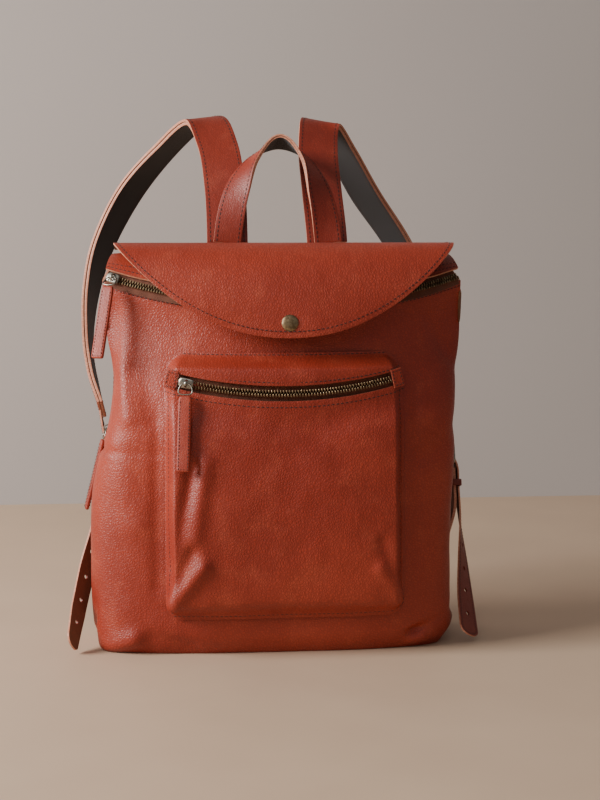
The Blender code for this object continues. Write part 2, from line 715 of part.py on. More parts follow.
def pocket_face(across, z):
    """A point of the pocket's outer face. across runs from -1 to 1."""
    x = POCKET_X + across * pocket_half(z)
    panel = front_y(x, z)
    teeth = pocket_zip_edge(x, 0)
    full = mix(teeth.y, panel - pocket_depth(z), smooth((abs(z - teeth.z) - 0.010) / 0.030))
    share = smooth((1 - abs(across)) / 0.085)
    share *= smooth((z - POCKET_LOW) / 0.016) * smooth((POCKET_HIGH - z) / 0.014)
    return Vector((x, mix(panel - 0.0031, full, share), z))


def build_pocket():
    columns = [math.sin(math.pi / 2 * (2 * i / 20 - 1)) for i in range(21)]
    shape = (
        ("pocket_front", 12, lambda x: POCKET_LOW, lambda x: pocket_zip_edge(x, -SLOT_HALF).z),
        ("pocket_yoke", 6, lambda x: pocket_zip_edge(x, SLOT_HALF).z, lambda x: POCKET_HIGH),
    )
    for name, levels, low, high in shape:
        rows = []
        for k in range(levels + 1):
            edges = [(a, POCKET_X + a * POCKET_HALF) for a in columns]
            spots = [(a, mix(low(x), high(x), k / levels)) for a, x in edges]
            rows.append([pocket_face(across, z) for across, z in spots])
        sheet(name, rows, "leather", 0.0018)


# ---------------------------------------------------------------- handle, straps and buckles


def strap_width(t):
    """Full width over the shoulder, drawn in to the belt's width where the two are sewn."""
    return mix(0.0370, 0.0240, smooth((t - 0.82) / 0.18))


def build_carrying():
    HANDLE.solid("handle", 0.0250, 0.0002, 0.0020, "leather", 5, 35)
    HANDLE.solid("handle_lining", 0.0235, -0.0014, -0.0002, "dark_cloth", 5, 35)
    for name, strap in (("left", LEFT_STRAP), ("right", RIGHT_STRAP)):
        strap.solid(f"{name}_strap", strap_width, 0.0003, 0.0025, "leather", 4)
        strap.solid(f"{name}_strap_lining", lambda t: strap_width(t) - 0.002, -0.0030, -0.0003, "dark_cloth", 4)
    rows = []
    for k in range(4):
        z = mix(0.2975, 0.3470, k / 3)
        rows.append([(0.072 * a, back_y(z) + 0.0072, z) for a in (1, 0.67, 0.33, 0, -0.33, -0.67, -1)])
    sheet("anchor_patch", rows, "leather", 0.0036)


def belt_path(side):
    """The belt from the strap, behind the buckle's top bar, out through its window and down to the keeper."""
    return Ribbon(
        [(side * 0.1612, 0.0800, 0.1925), (side * 0.1598, 0.0690, 0.1810), (side * 0.1590, 0.0600, 0.1695),
         (side * 0.1612, 0.0545, 0.1565), (side * 0.1652, 0.0500, 0.1445), (side * 0.1652, 0.0465, 0.1315)],
        [(side, 0.2, 0), (side, 0.1, 0), (side, 0, 0.1), (side * 0.95, 0, 0.25), (side, 0, 0.1), (side, 0, 0)],
        18,
    )


def tail_path(side):
    """The belt's free end, below the keeper, down to the table in front of the side."""
    path = [(-0.1668, 0.0350, 0.0980), (-0.1750, 0.0150, 0.0615), (-0.1820, -0.0140, 0.0315)]
    path.append((-0.1865, -0.0440, 0.0085))
    outs = [(-1, -0.1, 0), (-0.9, 0.35, 0.1), (-0.65, 0.75, 0.2), (-0.5, 0.85, 0.3), (-0.4, 0.85, 0.4)]
    if side > 0:
        path = [(0.1668, 0.0360, 0.0980), (0.1664, 0.0180, 0.0635), (0.1640, -0.0080, 0.0345)]
        path.append((0.1620, -0.0380, 0.0085))
        outs = [(1, 0, 0), (1, -0.15, 0.05), (0.85, -0.5, 0.2), (0.65, -0.75, 0.35), (0.55, -0.75, 0.45)]
    return Ribbon([(side * 0.1652, 0.0455, 0.1265)] + path, outs, 16)


def tail_root(side):
    """The line that a belt's free end swings about, level with the highest corner of its top edge."""
    return Vector((side * 0.1652, 0.0455, 0.1300))


def build_buckle(side, name):
    """The frame, its prong, the chape that holds it, the keeper and the belt through them."""
    slope = Vector((0, 0.42, 1)).normalized()
    across = Vector((0, 1, -0.42)).normalized()
    place = Matrix((across, slope, across.cross(slope))).transposed().to_4x4()
    place.translation = (side * STACK_X, 0.0553, 0.1565)
    half_wide, half_tall, wire = 0.0138, 0.0115, 0.0011
    corners = [rounded(2 * math.pi * k / 24, 0.45) for k in range(24)]
    points = [place @ Vector((x * half_wide, y * half_tall, 0)) for x, y in corners]
    wire_loop(f"{name}_buckle", points, across.cross(slope), wire, "nickel")

    rings = []
    for along, low, high in ((-0.0120, 0.0014, 0.0023), (0.0080, 0.0014, 0.0023), (0.0128, 0.0014, 0.0020)):
        edges = ((-0.0010, low), (0.0010, low), (0.0010, high), (-0.0010, high))
        rings.append([place @ Vector((x, along, side * z)) for x, z in edges])
    loft(f"{name}_prong", rings, "nickel")

    slot = cutter_box(f"{name}_belt_hole", (-0.0016, -0.0135, -0.008), (0.0016, 0.0015, 0.008), place)
    belt = belt_path(side).solid(f"{name}_belt", BELT_WIDTH, -0.0008, 0.0008, "leather")
    hole = belt.modifiers.new("hole", "BOOLEAN")
    hole.operation = "DIFFERENCE"
    hole.object = slot
    tail_path(side).solid(f"{name}_belt_tail", BELT_WIDTH, -0.0008, 0.0008, "leather", round_end=True)

    path = [(side * STACK_X, 0.0501, 0.1437), (side * STACK_X, 0.0465, 0.1315), (side * 0.1608, 0.0400, 0.1070)]
    outs = [(side, 0, 0)] * 3
    for y, z, off in ((0.034, 0.073, 0.0034), (0.030, 0.035, 0.0034), (0.028, 0.015, 0.0034)):
        path.append((wall_x(y, z, side) + side * off, y, z))
        lean = (wall_x(y + 0.006, z, side) - wall_x(y - 0.006, z, side)) / 0.012
        outs.append((side, -side * lean, 0))
    chape = Ribbon(path, outs, 15)
    chape.solid(f"{name}_chape", 0.0185, -0.0013, 0.0013, "leather")

    hoop = Matrix.Translation((side * 0.16315, 0.0463, 0.1307)) @ Matrix.Rotation(math.radians(-15), 4, "X")
    rings = [[], []]
    shape = [rounded(2 * math.pi * k / 16, 0.35) for k in range(16)]
    for ring, height in zip(rings, (-0.003, 0.003)):
        ring += [hoop @ Vector((x * 0.0052, y * 0.0132, height)) for x, y in shape]
    hoop_solid = loft(f"{name}_keeper", rings, "leather")
    inside = [[], []]
    for ring, height in zip(inside, (-0.005, 0.005)):
        ring += [hoop @ Vector((x * 0.0039, y * 0.0119, height)) for x, y in shape]
    bore = loft(f"{name}_keeper_bore", inside, "leather")
    bore.hide_render = True
    bore.display_type = "WIRE"
    cut = hoop_solid.modifiers.new("bore", "BOOLEAN")
    cut.operation = "DIFFERENCE"
    cut.object = bore


def add_pivot(name, at, pieces):
    """An empty on a joint's line, carrying the pieces that turn about it."""
    pivot = bpy.data.objects.new(name, None)
    pivot.empty_display_size = 0.01
    pivot.location = at
    bpy.context.scene.collection.objects.link(pivot)
    for piece in pieces:
        obj = bpy.data.objects[piece]
        obj.parent = pivot
        obj.matrix_parent_inverse = Matrix.Translation(-Vector(at))


def build_pivots(bars):
    cap_pieces = ["top_cap", "flap_crown", "main_tape_upper", "main_chain_upper"]
    add_pivot("mouth_line", (0, MOUTH_Y, MOUTH_Z), cap_pieces)
    add_pivot("fold_line", (0, FOLD_Y, FOLD_Z), ["flap", "flap_lining", "snap_cap", "snap_socket"])
    for name, track, *_ in PULLS:
        hang, bar = bars[name]
        add_pivot(f"{name}_zip_centre", track.centre, [f"{name}_slider"])
        add_pivot(f"{name}_bail", hang, [f"{name}_ring"])
        add_pivot(f"{name}_ring_bar", bar, [f"{name}_tab"])
    add_pivot("handle_root", HANDLE_ROOT, ["handle", "handle_lining"])
    for side, name, strap in ((-1, "left", LEFT_STRAP), (1, "right", RIGHT_STRAP)):
        add_pivot(f"{name}_strap_root", strap.points[1], [f"{name}_strap", f"{name}_strap_lining"])
        add_pivot(f"{name}_tail_root", tail_root(side), [f"{name}_belt_tail"])


def build_all():
    clear_scene()
    snap_at, snap_out = snap_axis()
    place = frame_at(snap_at, snap_out, (0, 0, 1))
    panel = Vector((0, front_y(0, SNAP_Z - 0.002), SNAP_Z - 0.002))
    panel_gap = (snap_at - panel).dot(snap_out)
    snap_hole = cutter_rod("snap_hole", place @ Matrix.Translation((0, 0, -0.004)), 0.0025, 0.012)
    stud_hole = cutter_rod("stud_hole", place @ Matrix.Translation((0, 0, -panel_gap)), 0.0023, 0.010)
    build_shell(stud_hole)
    build_base()
    build_lining()
    bars = build_zips()
    build_top(snap_hole)
    build_snap(place, panel_gap)
    build_pocket()
    build_carrying()
    for side, name in ((-1, "left"), (1, "right")):
        build_buckle(side, name)
    build_pivots(bars)


build_all()
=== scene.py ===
import math

import bmesh
import bpy
from mathutils import Matrix, Vector, noise


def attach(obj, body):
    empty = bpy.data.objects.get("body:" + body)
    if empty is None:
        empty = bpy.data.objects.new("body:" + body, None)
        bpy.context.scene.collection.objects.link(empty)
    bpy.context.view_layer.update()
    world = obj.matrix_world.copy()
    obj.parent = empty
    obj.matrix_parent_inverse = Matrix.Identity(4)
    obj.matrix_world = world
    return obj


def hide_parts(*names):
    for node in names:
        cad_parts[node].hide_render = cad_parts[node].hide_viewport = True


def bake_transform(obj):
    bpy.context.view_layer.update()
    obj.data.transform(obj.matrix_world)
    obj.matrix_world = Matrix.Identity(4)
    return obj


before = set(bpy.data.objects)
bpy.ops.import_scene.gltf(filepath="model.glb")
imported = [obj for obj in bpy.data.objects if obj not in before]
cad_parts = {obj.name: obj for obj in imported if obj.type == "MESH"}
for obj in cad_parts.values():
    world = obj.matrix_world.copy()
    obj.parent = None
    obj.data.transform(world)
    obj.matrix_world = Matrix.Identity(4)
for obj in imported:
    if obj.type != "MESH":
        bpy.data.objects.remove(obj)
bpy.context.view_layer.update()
bpy.ops.object.select_all(action="DESELECT")
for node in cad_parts.values():
    node.select_set(False)
print("frame loaded")

# the bag's own measures, in metres
bag = {
    "height": 0.3425,
    "rimHalf": 0.157,
    "backHalf": 0.148,
    "rightHalves": (0.1500, 0.1475, 0.1480, 0.1500, 0.1505, 0.1520, 0.1570, 0.1570),
    "leftFoot": 0.170,
    "leftWaist": 0.1486,
    "dentRadius": 0.232,
    "backY": 0.055,
    "backTopY": 0.046,
    "seamY": -0.006,
    "depths": (0.052, 0.0545, 0.0550, 0.0535, 0.0515, 0.0470, 0.042, 0.042),
    "boxiness": 3.2,
    "leather": 0.0020,
    "windowHalf": 0.0065,
    "sideZipY": 0.018,
    "sideZipZ": 0.2455,
    "sideZipShare": 0.34,
}


def smooth(t):
    t = min(max(t, 0.0), 1.0)
    return t * t * (3 - 2 * t)


def mix(a, b, t):
    return a + (b - a) * t


def curveThrough(keys, t):
    # Catmull-Rom through evenly spaced numbers or vectors
    spans = len(keys) - 1
    place = min(max(t, 0.0), 1.0) * spans
    i = min(int(place), spans - 1)
    u = place - i
    a, b, c, d = (keys[min(max(i + k, 0), spans)] for k in (-1, 0, 1, 2))
    return 0.5 * (2 * b + (c - a) * u + (2 * a - 5 * b + 4 * c - d) * u**2 + (3 * b - a - 3 * c + d) * u**3)


class ZipLine:
    # a zip on a round arc; its band is part of a cone about the arc's axis
    def __init__(self, middle, down, along, radius, half, lean):
        self.down = Vector(down).normalized()
        self.along = Vector(along).normalized()
        self.axis = self.down.cross(self.along)
        self.centre = Vector(middle) - self.down * radius
        self.radius = radius
        self.half = math.radians(half)
        self.lean = math.radians(lean)

    def station(self, angle):
        radial = self.down * math.cos(angle) + self.along * math.sin(angle)
        tangent = self.along * math.cos(angle) - self.down * math.sin(angle)
        across = self.axis * math.cos(self.lean) - radial * math.sin(self.lean)
        return self.centre + radial * self.radius, tangent, across, tangent.cross(across)

    def point(self, angle, acrossBy, lift=0.0):
        here, _, across, out = self.station(angle)
        return here + across * acrossBy + out * lift


sideX = mix(bag["leftWaist"], bag["backHalf"], bag["sideZipShare"])
sideRadius = bag["dentRadius"] / (1 - bag["sideZipShare"])
mainZip = ZipLine((0, -0.052, 0.3040), (0, -0.886, -0.464), (1, 0, 0), 0.2837, 33.6, 50)
pocketZip = ZipLine((-0.0035, -0.0700, 0.2275), (0, -1, -1), (1, 0, 0), 0.286, 19.5, 45)
sideZip = ZipLine((-sideX, bag["sideZipY"], bag["sideZipZ"]), (1, 0, 0), (0, 0, 1), sideRadius, 10.5, 180)


class Ribbon:
    # a strap's middle line, with the way that its outside looks
    def __init__(self, points, outs):
        self.points = [Vector(p) for p in points]
        self.outs = [Vector(n).normalized() for n in outs]

    def station(self, t):
        step = 0.004
        here = curveThrough(self.points, t)
        along = (curveThrough(self.points, t + step) - curveThrough(self.points, t - step)).normalized()
        out = curveThrough(self.outs, t)
        out = (out - along * out.dot(along)).normalized()
        return here, along, out, along.cross(out)

    def point(self, t, acrossBy, lift):
        here, _, out, side = self.station(t)
        return here + side * acrossBy + out * lift

    def length(self):
        ends = [curveThrough(self.points, k / 60) for k in range(61)]
        return sum((b - a).length for a, b in zip(ends, ends[1:]))


# ---- the bag's outer shape


def baseInset(z):
    return 0.010 * (1 - min(max(z, 0) / 0.022, 1.0)) ** 2


def halfWidth(z, side):
    if side > 0:
        return curveThrough(bag["rightHalves"], z / bag["height"]) - baseInset(z)
    knee, reach = 0.1725, 0.135
    rise = z - bag["sideZipZ"]
    if z > knee:
        return min(bag["leftWaist"] + rise**2 / (2 * bag["dentRadius"]), bag["rimHalf"])
    atKnee = bag["leftWaist"] + (knee - bag["sideZipZ"]) ** 2 / (2 * bag["dentRadius"])
    slope = (bag["sideZipZ"] - knee) / bag["dentRadius"]
    u = min((knee - z) / reach, 1.0)
    return mix(atKnee, bag["leftFoot"], u * u * (3 - 2 * u)) + slope * reach * u * (1
        - u) ** 2 - baseInset(z)


def arcShare(across):
    top = math.cos(mainZip.half)
    lean = math.cos(math.asin(min(abs(across), 1.0) * math.sin(mainZip.half)))
    return (lean - top) / (1 - top)


def frontY(x, z):
    across = min(abs(x) / halfWidth(z, x), 1.0)
    boxy = (1 - across ** bag["boxiness"]) ** (1 / bag["boxiness"])
    depth = curveThrough(bag["depths"], z / bag["height"]) - baseInset(z)
    return bag["seamY"] - depth * mix(boxy, arcShare(across), smooth((z - 0.1975) / 0.10))


def rimZ(across):
    return mainZip.point(math.asin(abs(across) * math.sin(mainZip.half)), -bag["windowHalf"]).z


def backY(z):
    return mix(bag["backY"], bag["backTopY"], smooth((z - 0.1875) / 0.16)) - baseInset(z)


def gussetX(z, share, side):
    return side * mix(halfWidth(z, side), bag["backHalf"] - baseInset(z), share**1.3)


def wrapShare(s):
    # a place across the front, closer together where it turns its corners
    turn = math.pi * (1 - s)
    return math.copysign(abs(math.cos(turn)) ** (2 / bag["boxiness"]), math.cos(turn))


# ---- modelling helpers


def unselect():
    for obj in bpy.context.selected_objects:
        obj.select_set(False)


def pickOnly(piece):
    unselect()
    piece.select_set(True)
    bpy.context.view_layer.objects.active = piece


def gridSheet(name, columns, rows, place):
    # a grid primitive whose points are set one by one; u runs right and v up on its outer face
    unselect()
    bpy.ops.mesh.primitive_grid_add(x_subdivisions=columns, y_subdivisions=rows, size=2)
    piece = bpy.context.object
    piece.name = piece.data.name = name
    for vertex in piece.data.vertices:
        vertex.co = place((vertex.co.x + 1) / 2, (vertex.co.y + 1) / 2)
    return piece


def applied(piece, kind, **settings):
    modifier = piece.modifiers.new(kind.lower(), kind)
    for key, value in settings.items():
        setattr(modifier, key, value)
    pickOnly(piece)
    bpy.ops.object.modifier_apply(modifier=modifier.name)
    return piece


def thickened(piece, thickness, offset=-1.0, soft=0.0, even=True):
    # slot 1 is the cut edge and slot 2 the inner side
    while len(piece.data.materials) < 3:
        piece.data.materials.append(None)
    applied(piece, "SOLIDIFY", thickness=thickness, offset=offset, use_even_offset=even,
            material_offset_rim=1, material_offset=2)
    if soft:
        applied(piece, "BEVEL", width=soft, segments=2, limit_method="ANGLE", angle_limit=math.radians(50))
    return piece


def edited(piece, *steps):
    # runs edit mode operators on the whole piece
    pickOnly(piece)
    bpy.ops.object.mode_set(mode="EDIT")
    bpy.ops.mesh.select_all(action="SELECT")
    for step in steps:
        step()
    bpy.ops.object.mode_set(mode="OBJECT")
    return piece


def mergeDoubles():
    bpy.ops.mesh.remove_doubles(threshold=0.00001)


def facesOut():
    bpy.ops.mesh.normals_make_consistent(inside=False)


def rounded(turn, power):
    x = math.copysign(abs(math.sin(turn)) ** power, math.sin(turn))
    return x, math.copysign(abs(math.cos(turn)) ** power, math.cos(turn))


def frameAt(origin, out, up):
    z = Vector(out).normalized()
    x = Vector(up).cross(z).normalized()
    made = Matrix((x, z.cross(x), z)).transposed().to_4x4()
    made.translation = Vector(origin)
    return made


def turnedPiece(name, profile, place, segments=40):
    # a turned shape from (radius, height) pairs that run down its outside
    spots = [Vector(p) for p in profile]

    def at(u, v):
        k = min(int(v * (len(spots) - 1) + 0.5), len(spots) - 1)
        angle = 2 * math.pi * u
        return place @ Vector((spots[k].x * math.cos(angle), spots[k].x * math.sin(angle), spots[k].y))

    piece = gridSheet(name, segments, len(spots) - 1, at)
    return edited(piece, mergeDoubles, facesOut)


def wirePiece(name, centres, normal, radius, sides=10):
    # a closed loop of round wire through points in one plane
    count = len(centres)

    def at(u, v):
        k = round(u * count) % count
        ahead = (centres[(k + 1) % count] - centres[k - 1]).normalized()
        sideways = ahead.cross(normal).normalized()
        turn = 2 * math.pi * v
        return centres[k] + (sideways * math.cos(turn) + normal * math.sin(turn)) * radius

    piece = gridSheet(name, count, sides, at)
    return edited(piece, mergeDoubles, facesOut)


def smoothShaded(piece, angle=40):
    pickOnly(piece)
    bpy.ops.object.shade_smooth_by_angle(angle=math.radians(angle))
    return piece


def dressed(piece, materials, body, nodes=(), bend=None):
    # gives a piece its finishes, puts it under its body and hides the CAD nodes that it stands for; a piece
    # with a bend is only baked in place, not put under its body
    slots = piece.data.materials
    for k in range(max(len(slots), len(materials))):
        finish = materials[min(k, len(materials) - 1)]
        if k < len(slots):
            slots[k] = finish
        else:
            slots.append(finish)
    smoothShaded(piece)
    if bend:
        other, start, end = bend
        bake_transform(piece)
        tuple(start)
        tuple(end)
    else:
        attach(piece, body)
    if nodes:
        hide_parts(*nodes)
    return piece


thread = {"length": 0.0030, "pitch": 0.0040, "width": 0.00100, "height": 0.00060}


def stitchShape():
    unselect()
    bpy.ops.mesh.primitive_uv_sphere_add(segments=6, ring_count=4, radius=0.5)
    seed = bpy.context.object
    corners = [v.co.copy() for v in seed.data.vertices]
    faces = [tuple(f.vertices) for f in seed.data.polygons]
    bpy.data.objects.remove(seed)
    return corners, faces


stitchCorners, stitchFaces = stitchShape()


def stitchRows(name, routes, lift=0.0, **sizes):
    # one thread's stitches along each route of (point, out) pairs, set into the leather's face
    size = {**thread, **sizes}
    corners, faces = [], []
    for route in routes:
        points = [Vector(p) for p, _ in route]
        outs = [Vector(n).normalized() for _, n in route]
        walked = size["pitch"] / 2
        for a, b, outA, outB in zip(points, points[1:], outs, outs[1:]):
            span = (b - a).length
            while walked < span:
                share = walked / span
                along = (b - a) / span
                out = outA.lerp(outB, share).normalized()
                side = along.cross(out).normalized()
                middle = a.lerp(b, share) + out * lift
                first = len(corners)
                for c in stitchCorners:
                    corners.append(middle + along * c.z * size["length"] + side * c.x * size["width"]
                                   + out * c.y * size["height"])
                faces += [tuple(first + k for k in face) for face in stitchFaces]
                walked += size["pitch"]
            walked -= span
    mesh = bpy.data.meshes.new(name)
    mesh.from_pydata([tuple(c) for c in corners], [], faces)
    piece = bpy.data.objects.new(name, mesh)
    bpy.context.scene.collection.objects.link(piece)
    return edited(piece, facesOut)


def routeOn(place, spots, relief=None, step=0.002):
    # points and outward directions on a sheet's place function, for stitching that follows its relief
    route = []
    for u, v in spots:
        du = place(min(u + step, 1), v) - place(max(u - step, 0), v)
        dv = place(u, min(v + step, 1)) - place(u, max(v - step, 0))
        here, out = place(u, v), du.cross(dv).normalized()
        route.append((here + out * relief(here) if relief else here, out))
    return route


def foldHeight(point, folds):
    # how far soft folds push a face out at a point; each fold is a run of points, its width and its height
    total = 0.0
    for run, width, height in folds:
        nearest = 1.0
        for a, b in zip(run, run[1:]):
            a, b = Vector(a), Vector(b)
            span = b - a
            share = min(max((point - a).dot(span) / span.length_squared, 0), 1)
            nearest = min(nearest, (point - a - span * share).length)
        total += height * math.exp(-((nearest / width) ** 2))
    return total


def pushed(piece, amount):
    # moves each point along its normal
    normals = [v.normal.copy() for v in piece.data.vertices]
    for vertex, normal in zip(piece.data.vertices, normals):
        vertex.co += normal * amount(vertex.co)
    piece.data.update()
    return piece


# ---- materials


class Wire:
    # an output socket that Python's operators work on
    def __init__(self, finish, socket):
        self.finish = finish
        self.socket = socket

    def sum(self, operation, a, b=0.0):
        return self.finish.put("ShaderNodeMath", {"operation": operation}, {0: a, 1: b})

    def __add__(self, other):
        return self.sum("ADD", self, other)

    def __radd__(self, other):
        return self.sum("ADD", other, self)

    def __sub__(self, other):
        return self.sum("SUBTRACT", self, other)

    def __rsub__(self, other):
        return self.sum("SUBTRACT", other, self)

    def __mul__(self, other):
        return self.sum("MULTIPLY", self, other)

    def __rmul__(self, other):
        return self.sum("MULTIPLY", other, self)

    def sine(self):
        return self.sum("SINE", self)


class Finish:
    def __init__(self, name):
        self.material = bpy.data.materials.new(name)
        self.material.use_nodes = True
        self.tree = self.material.node_tree
        self.tree.nodes.clear()

    def put(self, kind, settings=None, inputs=None, output=0):
        made = self.tree.nodes.new(kind)
        for key, value in (settings or {}).items():
            setattr(made, key, value)
        for key, value in (inputs or {}).items():
            if isinstance(value, Wire):
                self.tree.links.new(value.socket, made.inputs[key])
            else:
                made.inputs[key].default_value = value
        return Wire(self, made.outputs[output])

    def place(self, stretch=(1, 1, 1), turn=(0, 0, 0)):
        spot = self.put("ShaderNodeTexCoord", output="Object")
        return self.put("ShaderNodeMapping", {}, {"Vector": spot, "Scale": stretch, "Rotation": turn})

    def ownMap(self):
        # u and v of the piece's own UV map
        spot = self.put("ShaderNodeTexCoord", output="UV")
        return [self.put("ShaderNodeSeparateXYZ", {}, {0: spot}, output=k) for k in (0, 1)]

    def noise(self, spot, scale, detail=2.0, rough=0.5):
        return self.put("ShaderNodeTexNoise", {},
            {"Vector": spot, "Scale": scale, "Detail": detail, "Roughness": rough})

    def blend(self, share, a, b):
        a, b = ((*c, 1.0) if isinstance(c, tuple) else c for c in (a, b))
        return self.put("ShaderNodeMix", {"data_type": "RGBA"}, {0: share, 6: a, 7: b}, output=2)

    def eased(self, value, low, high):
        return self.put("ShaderNodeMapRange", {"interpolation_type": "SMOOTHSTEP"},
                        {"Value": value, "From Min": low, "From Max": high})

    def bump(self, height, distance, strength=1.0, under=None):
        inputs = {"Height": height, "Distance": distance, "Strength": strength}
        if under:
            inputs["Normal"] = under
        return self.put("ShaderNodeBump", {}, inputs)

    def surface(self, **inputs):
        names = {"colour": "Base Color", "rough": "Roughness", "metal": "Metallic", "normal": "Normal",
                 "coat": "Coat Weight", "sheen": "Sheen Weight", "specular": "Specular IOR Level"}
        shader = self.put("ShaderNodeBsdfPrincipled", {}, {names[k]: v for k, v in inputs.items()})
        return self.shown(shader)

    def shown(self, shader):
        output = self.tree.nodes.new("ShaderNodeOutputMaterial")
        self.tree.links.new(shader.socket, output.inputs["Surface"])
        return self.material

    def oneSided(self, colour, rough):
        # solid from its front and clear from behind
        solid = self.put("ShaderNodeBsdfPrincipled", {}, {"Base Color": colour, "Roughness": rough})
        clear = self.put("ShaderNodeBsdfTransparent")
        behind = self.put("ShaderNodeNewGeometry", output="Backfacing")
        return self.shown(self.put("ShaderNodeMixShader", {}, {0: behind, 1: solid, 2: clear}))


def leatherFinish(name, tone, shade, glow, grain=430, depth=0.00024, rough=0.40, broad=6.5, crease=34.0,
        creased=0.5):
    finish = Finish(name)
    spot = finish.place()
    wander = finish.put("ShaderNodeTexNoise", {}, {"Vector": spot, "Scale": 160.0, "Detail": 1.0},
        output="Color")
    shifted = finish.put("ShaderNodeVectorMath", {"operation": "MULTIPLY_ADD"},
                         {0: wander, 1: (0.0022, 0.0022, 0.0022), 2: spot})
    edge = finish.put("ShaderNodeTexVoronoi", {"feature": "DISTANCE_TO_EDGE"},
        {"Vector": shifted, "Scale": grain})
    pebble = finish.eased(edge, 0.0, 0.30)
    pore = finish.noise(spot, 2100.0, 2.0)
    patches = finish.eased(finish.noise(spot, broad, 3.0, 0.55), 0.34, 0.68)
    blotch = finish.noise(spot, 42.0, 4.0, 0.6)
    colour = finish.blend(patches, shade, tone)
    colour = finish.blend(finish.eased(blotch, 0.48, 0.80) * 0.55, colour, glow)
    # painted shade: the grain's valleys between the pebbles are darkened towards a deeper copy of the shade
    # colour
    colour = finish.blend((1 - pebble) * 0.34, colour, tuple(0.42 * c for c in shade))
    roughness = rough + (blotch - 0.5) * 0.22 + (1 - pebble) * 0.10
    height = pebble * 0.75 + pore * 0.25
    creases = finish.noise(finish.place((1, 1, 0.55), (0.2, 0.1, 0.35)), crease, 4.0, 0.55)
    soft = finish.bump(creases, 0.0022, creased)
    return finish.surface(colour=colour, rough=roughness, normal=finish.bump(height, depth, 0.85, soft),
        specular=0.45)


def edgeFinish(name, tone, dark):
    # burnished and painted cut edge
    finish = Finish(name)
    spot = finish.place()
    streak = finish.noise(finish.place((1, 1, 3)), 420.0, 3.0)
    colour = finish.blend(finish.eased(streak, 0.40, 0.72), dark, tone)
    return finish.surface(colour=colour, rough=0.40 + finish.noise(spot, 90.0) * 0.25,
                          normal=finish.bump(streak, 0.00010, 0.6))


def clothFinish(name, light, dark, across, along, sheen=0.15, fuzz=0.88):
    # plain weave that follows the piece's own UV map
    finish = Finish(name)
    u, v = finish.ownMap()
    warp = (u * (across * math.pi)).sine()
    weft = (v * (along * math.pi)).sine()
    height = warp * weft * 0.5 + 0.5
    mottle = finish.noise(finish.place(), 60.0, 3.0)
    # painted shade: the weave's hollows are darker and its raised threads lighter, mixed with random mottle
    colour = finish.blend(height * 0.55 + mottle * 0.45, dark, light)
    return finish.surface(colour=colour, rough=fuzz - height * 0.10, sheen=sheen,
                          normal=finish.bump(height, 0.00012, 0.7))


def twillFinish(name, light, dark, pitch):
    finish = Finish(name)
    spot = finish.place()
    x, y, z = (finish.put("ShaderNodeSeparateXYZ", {}, {0: spot}, output=k) for k in (0, 1, 2))
    rib = ((x + y + z) * (2 * math.pi / pitch)).sine() * 0.5 + 0.5
    mottle = finish.noise(spot, 25.0, 4.0)
    # painted shade: the twill's grooves are darker and its ribs lighter, mixed with random mottle
    colour = finish.blend(rib * 0.5 + mottle * 0.5, dark, light)
    return finish.surface(colour=colour, rough=0.9, sheen=0.2, normal=finish.bump(rib, 0.00015, 0.7))


def metalFinish(name, bright, dull, rough, wear):
    finish = Finish(name)
    spot = finish.place()
    age = finish.eased(finish.noise(spot, wear, 4.0, 0.6), 0.35, 0.70)
    brush = finish.noise(finish.place((1, 1, 12)), 900.0, 2.0)
    colour = finish.blend(age, dull, bright)
    return finish.surface(colour=colour, metal=1.0, rough=rough + (1 - age) * 0.18 + brush * 0.06,
                          normal=finish.bump(brush, 0.00003, 0.4))


def threadFinish(name, tone, dark):
    finish = Finish(name)
    twist = finish.noise(finish.place((1, 1, 1), (0.6, 0.4, 0.2)), 2600.0, 1.0)
    return finish.surface(colour=finish.blend(twist, dark, tone), rough=0.62, sheen=0.1,
                          normal=finish.bump(twist, 0.00008, 0.6))


red = {
    "tone": (0.385, 0.046, 0.020),
    "shade": (0.285, 0.027, 0.012),
    "glow": (0.480, 0.078, 0.036),
}
leather = leatherFinish("pebbledLeather", red["tone"], red["shade"], red["glow"])
pullLeather = leatherFinish("pullLeather", (0.400, 0.052, 0.024), (0.300, 0.032, 0.015),
    (0.52, 0.10, 0.05), 600, 0.00012)
strapLeather = leatherFinish("strapLeather", (0.340, 0.044, 0.020), (0.245, 0.026, 0.013),
    (0.44, 0.080, 0.042), 520, 0.00014)
beltLeather = leatherFinish("beltLeather", (0.250, 0.040, 0.022), (0.180, 0.026, 0.015),
    (0.36, 0.09, 0.05), 560, 0.00012)
paleEdge = edgeFinish("paleEdge", (0.72, 0.36, 0.24), (0.52, 0.20, 0.12))
redEdge = edgeFinish("redEdge", (0.46, 0.13, 0.07), (0.22, 0.045, 0.025))
suede = leatherFinish("suedeSide", (0.27, 0.13, 0.075), (0.20, 0.09, 0.05), (0.33, 0.17, 0.10), 1500,
    0.00010, 0.85)
blackCloth = clothFinish("blackCloth", (0.020, 0.020, 0.024), (0.004, 0.004, 0.005), 70, 760)
flapCloth = clothFinish("flapCloth", (0.022, 0.021, 0.022), (0.005, 0.005, 0.005), 560, 300)
twill = twillFinish("twillLining", (0.30, 0.19, 0.11), (0.17, 0.10, 0.06), 0.0011)
mainTapeCloth = clothFinish("mainTapeCloth", (0.20, 0.058, 0.024), (0.075, 0.020, 0.010), 22, 560)
smallTapeCloth = clothFinish("smallTapeCloth", (0.20, 0.058, 0.024), (0.075, 0.020, 0.010), 22, 320)
brass = metalFinish("antiqueBrass", (0.42, 0.31, 0.18), (0.15, 0.105, 0.060), 0.30, 260.0)
nickel = metalFinish("nickelPlate", (0.44, 0.42, 0.37), (0.24, 0.225, 0.19), 0.22, 120.0)
darkThread = threadFinish("darkThread", (0.060, 0.012, 0.008), (0.020, 0.005, 0.004))
board = twillFinish("pressedBoard", (0.30, 0.25, 0.18), (0.22, 0.18, 0.12), 0.0008)
print("materials made")

# ---- body: one wrap of leather round the front and both sides

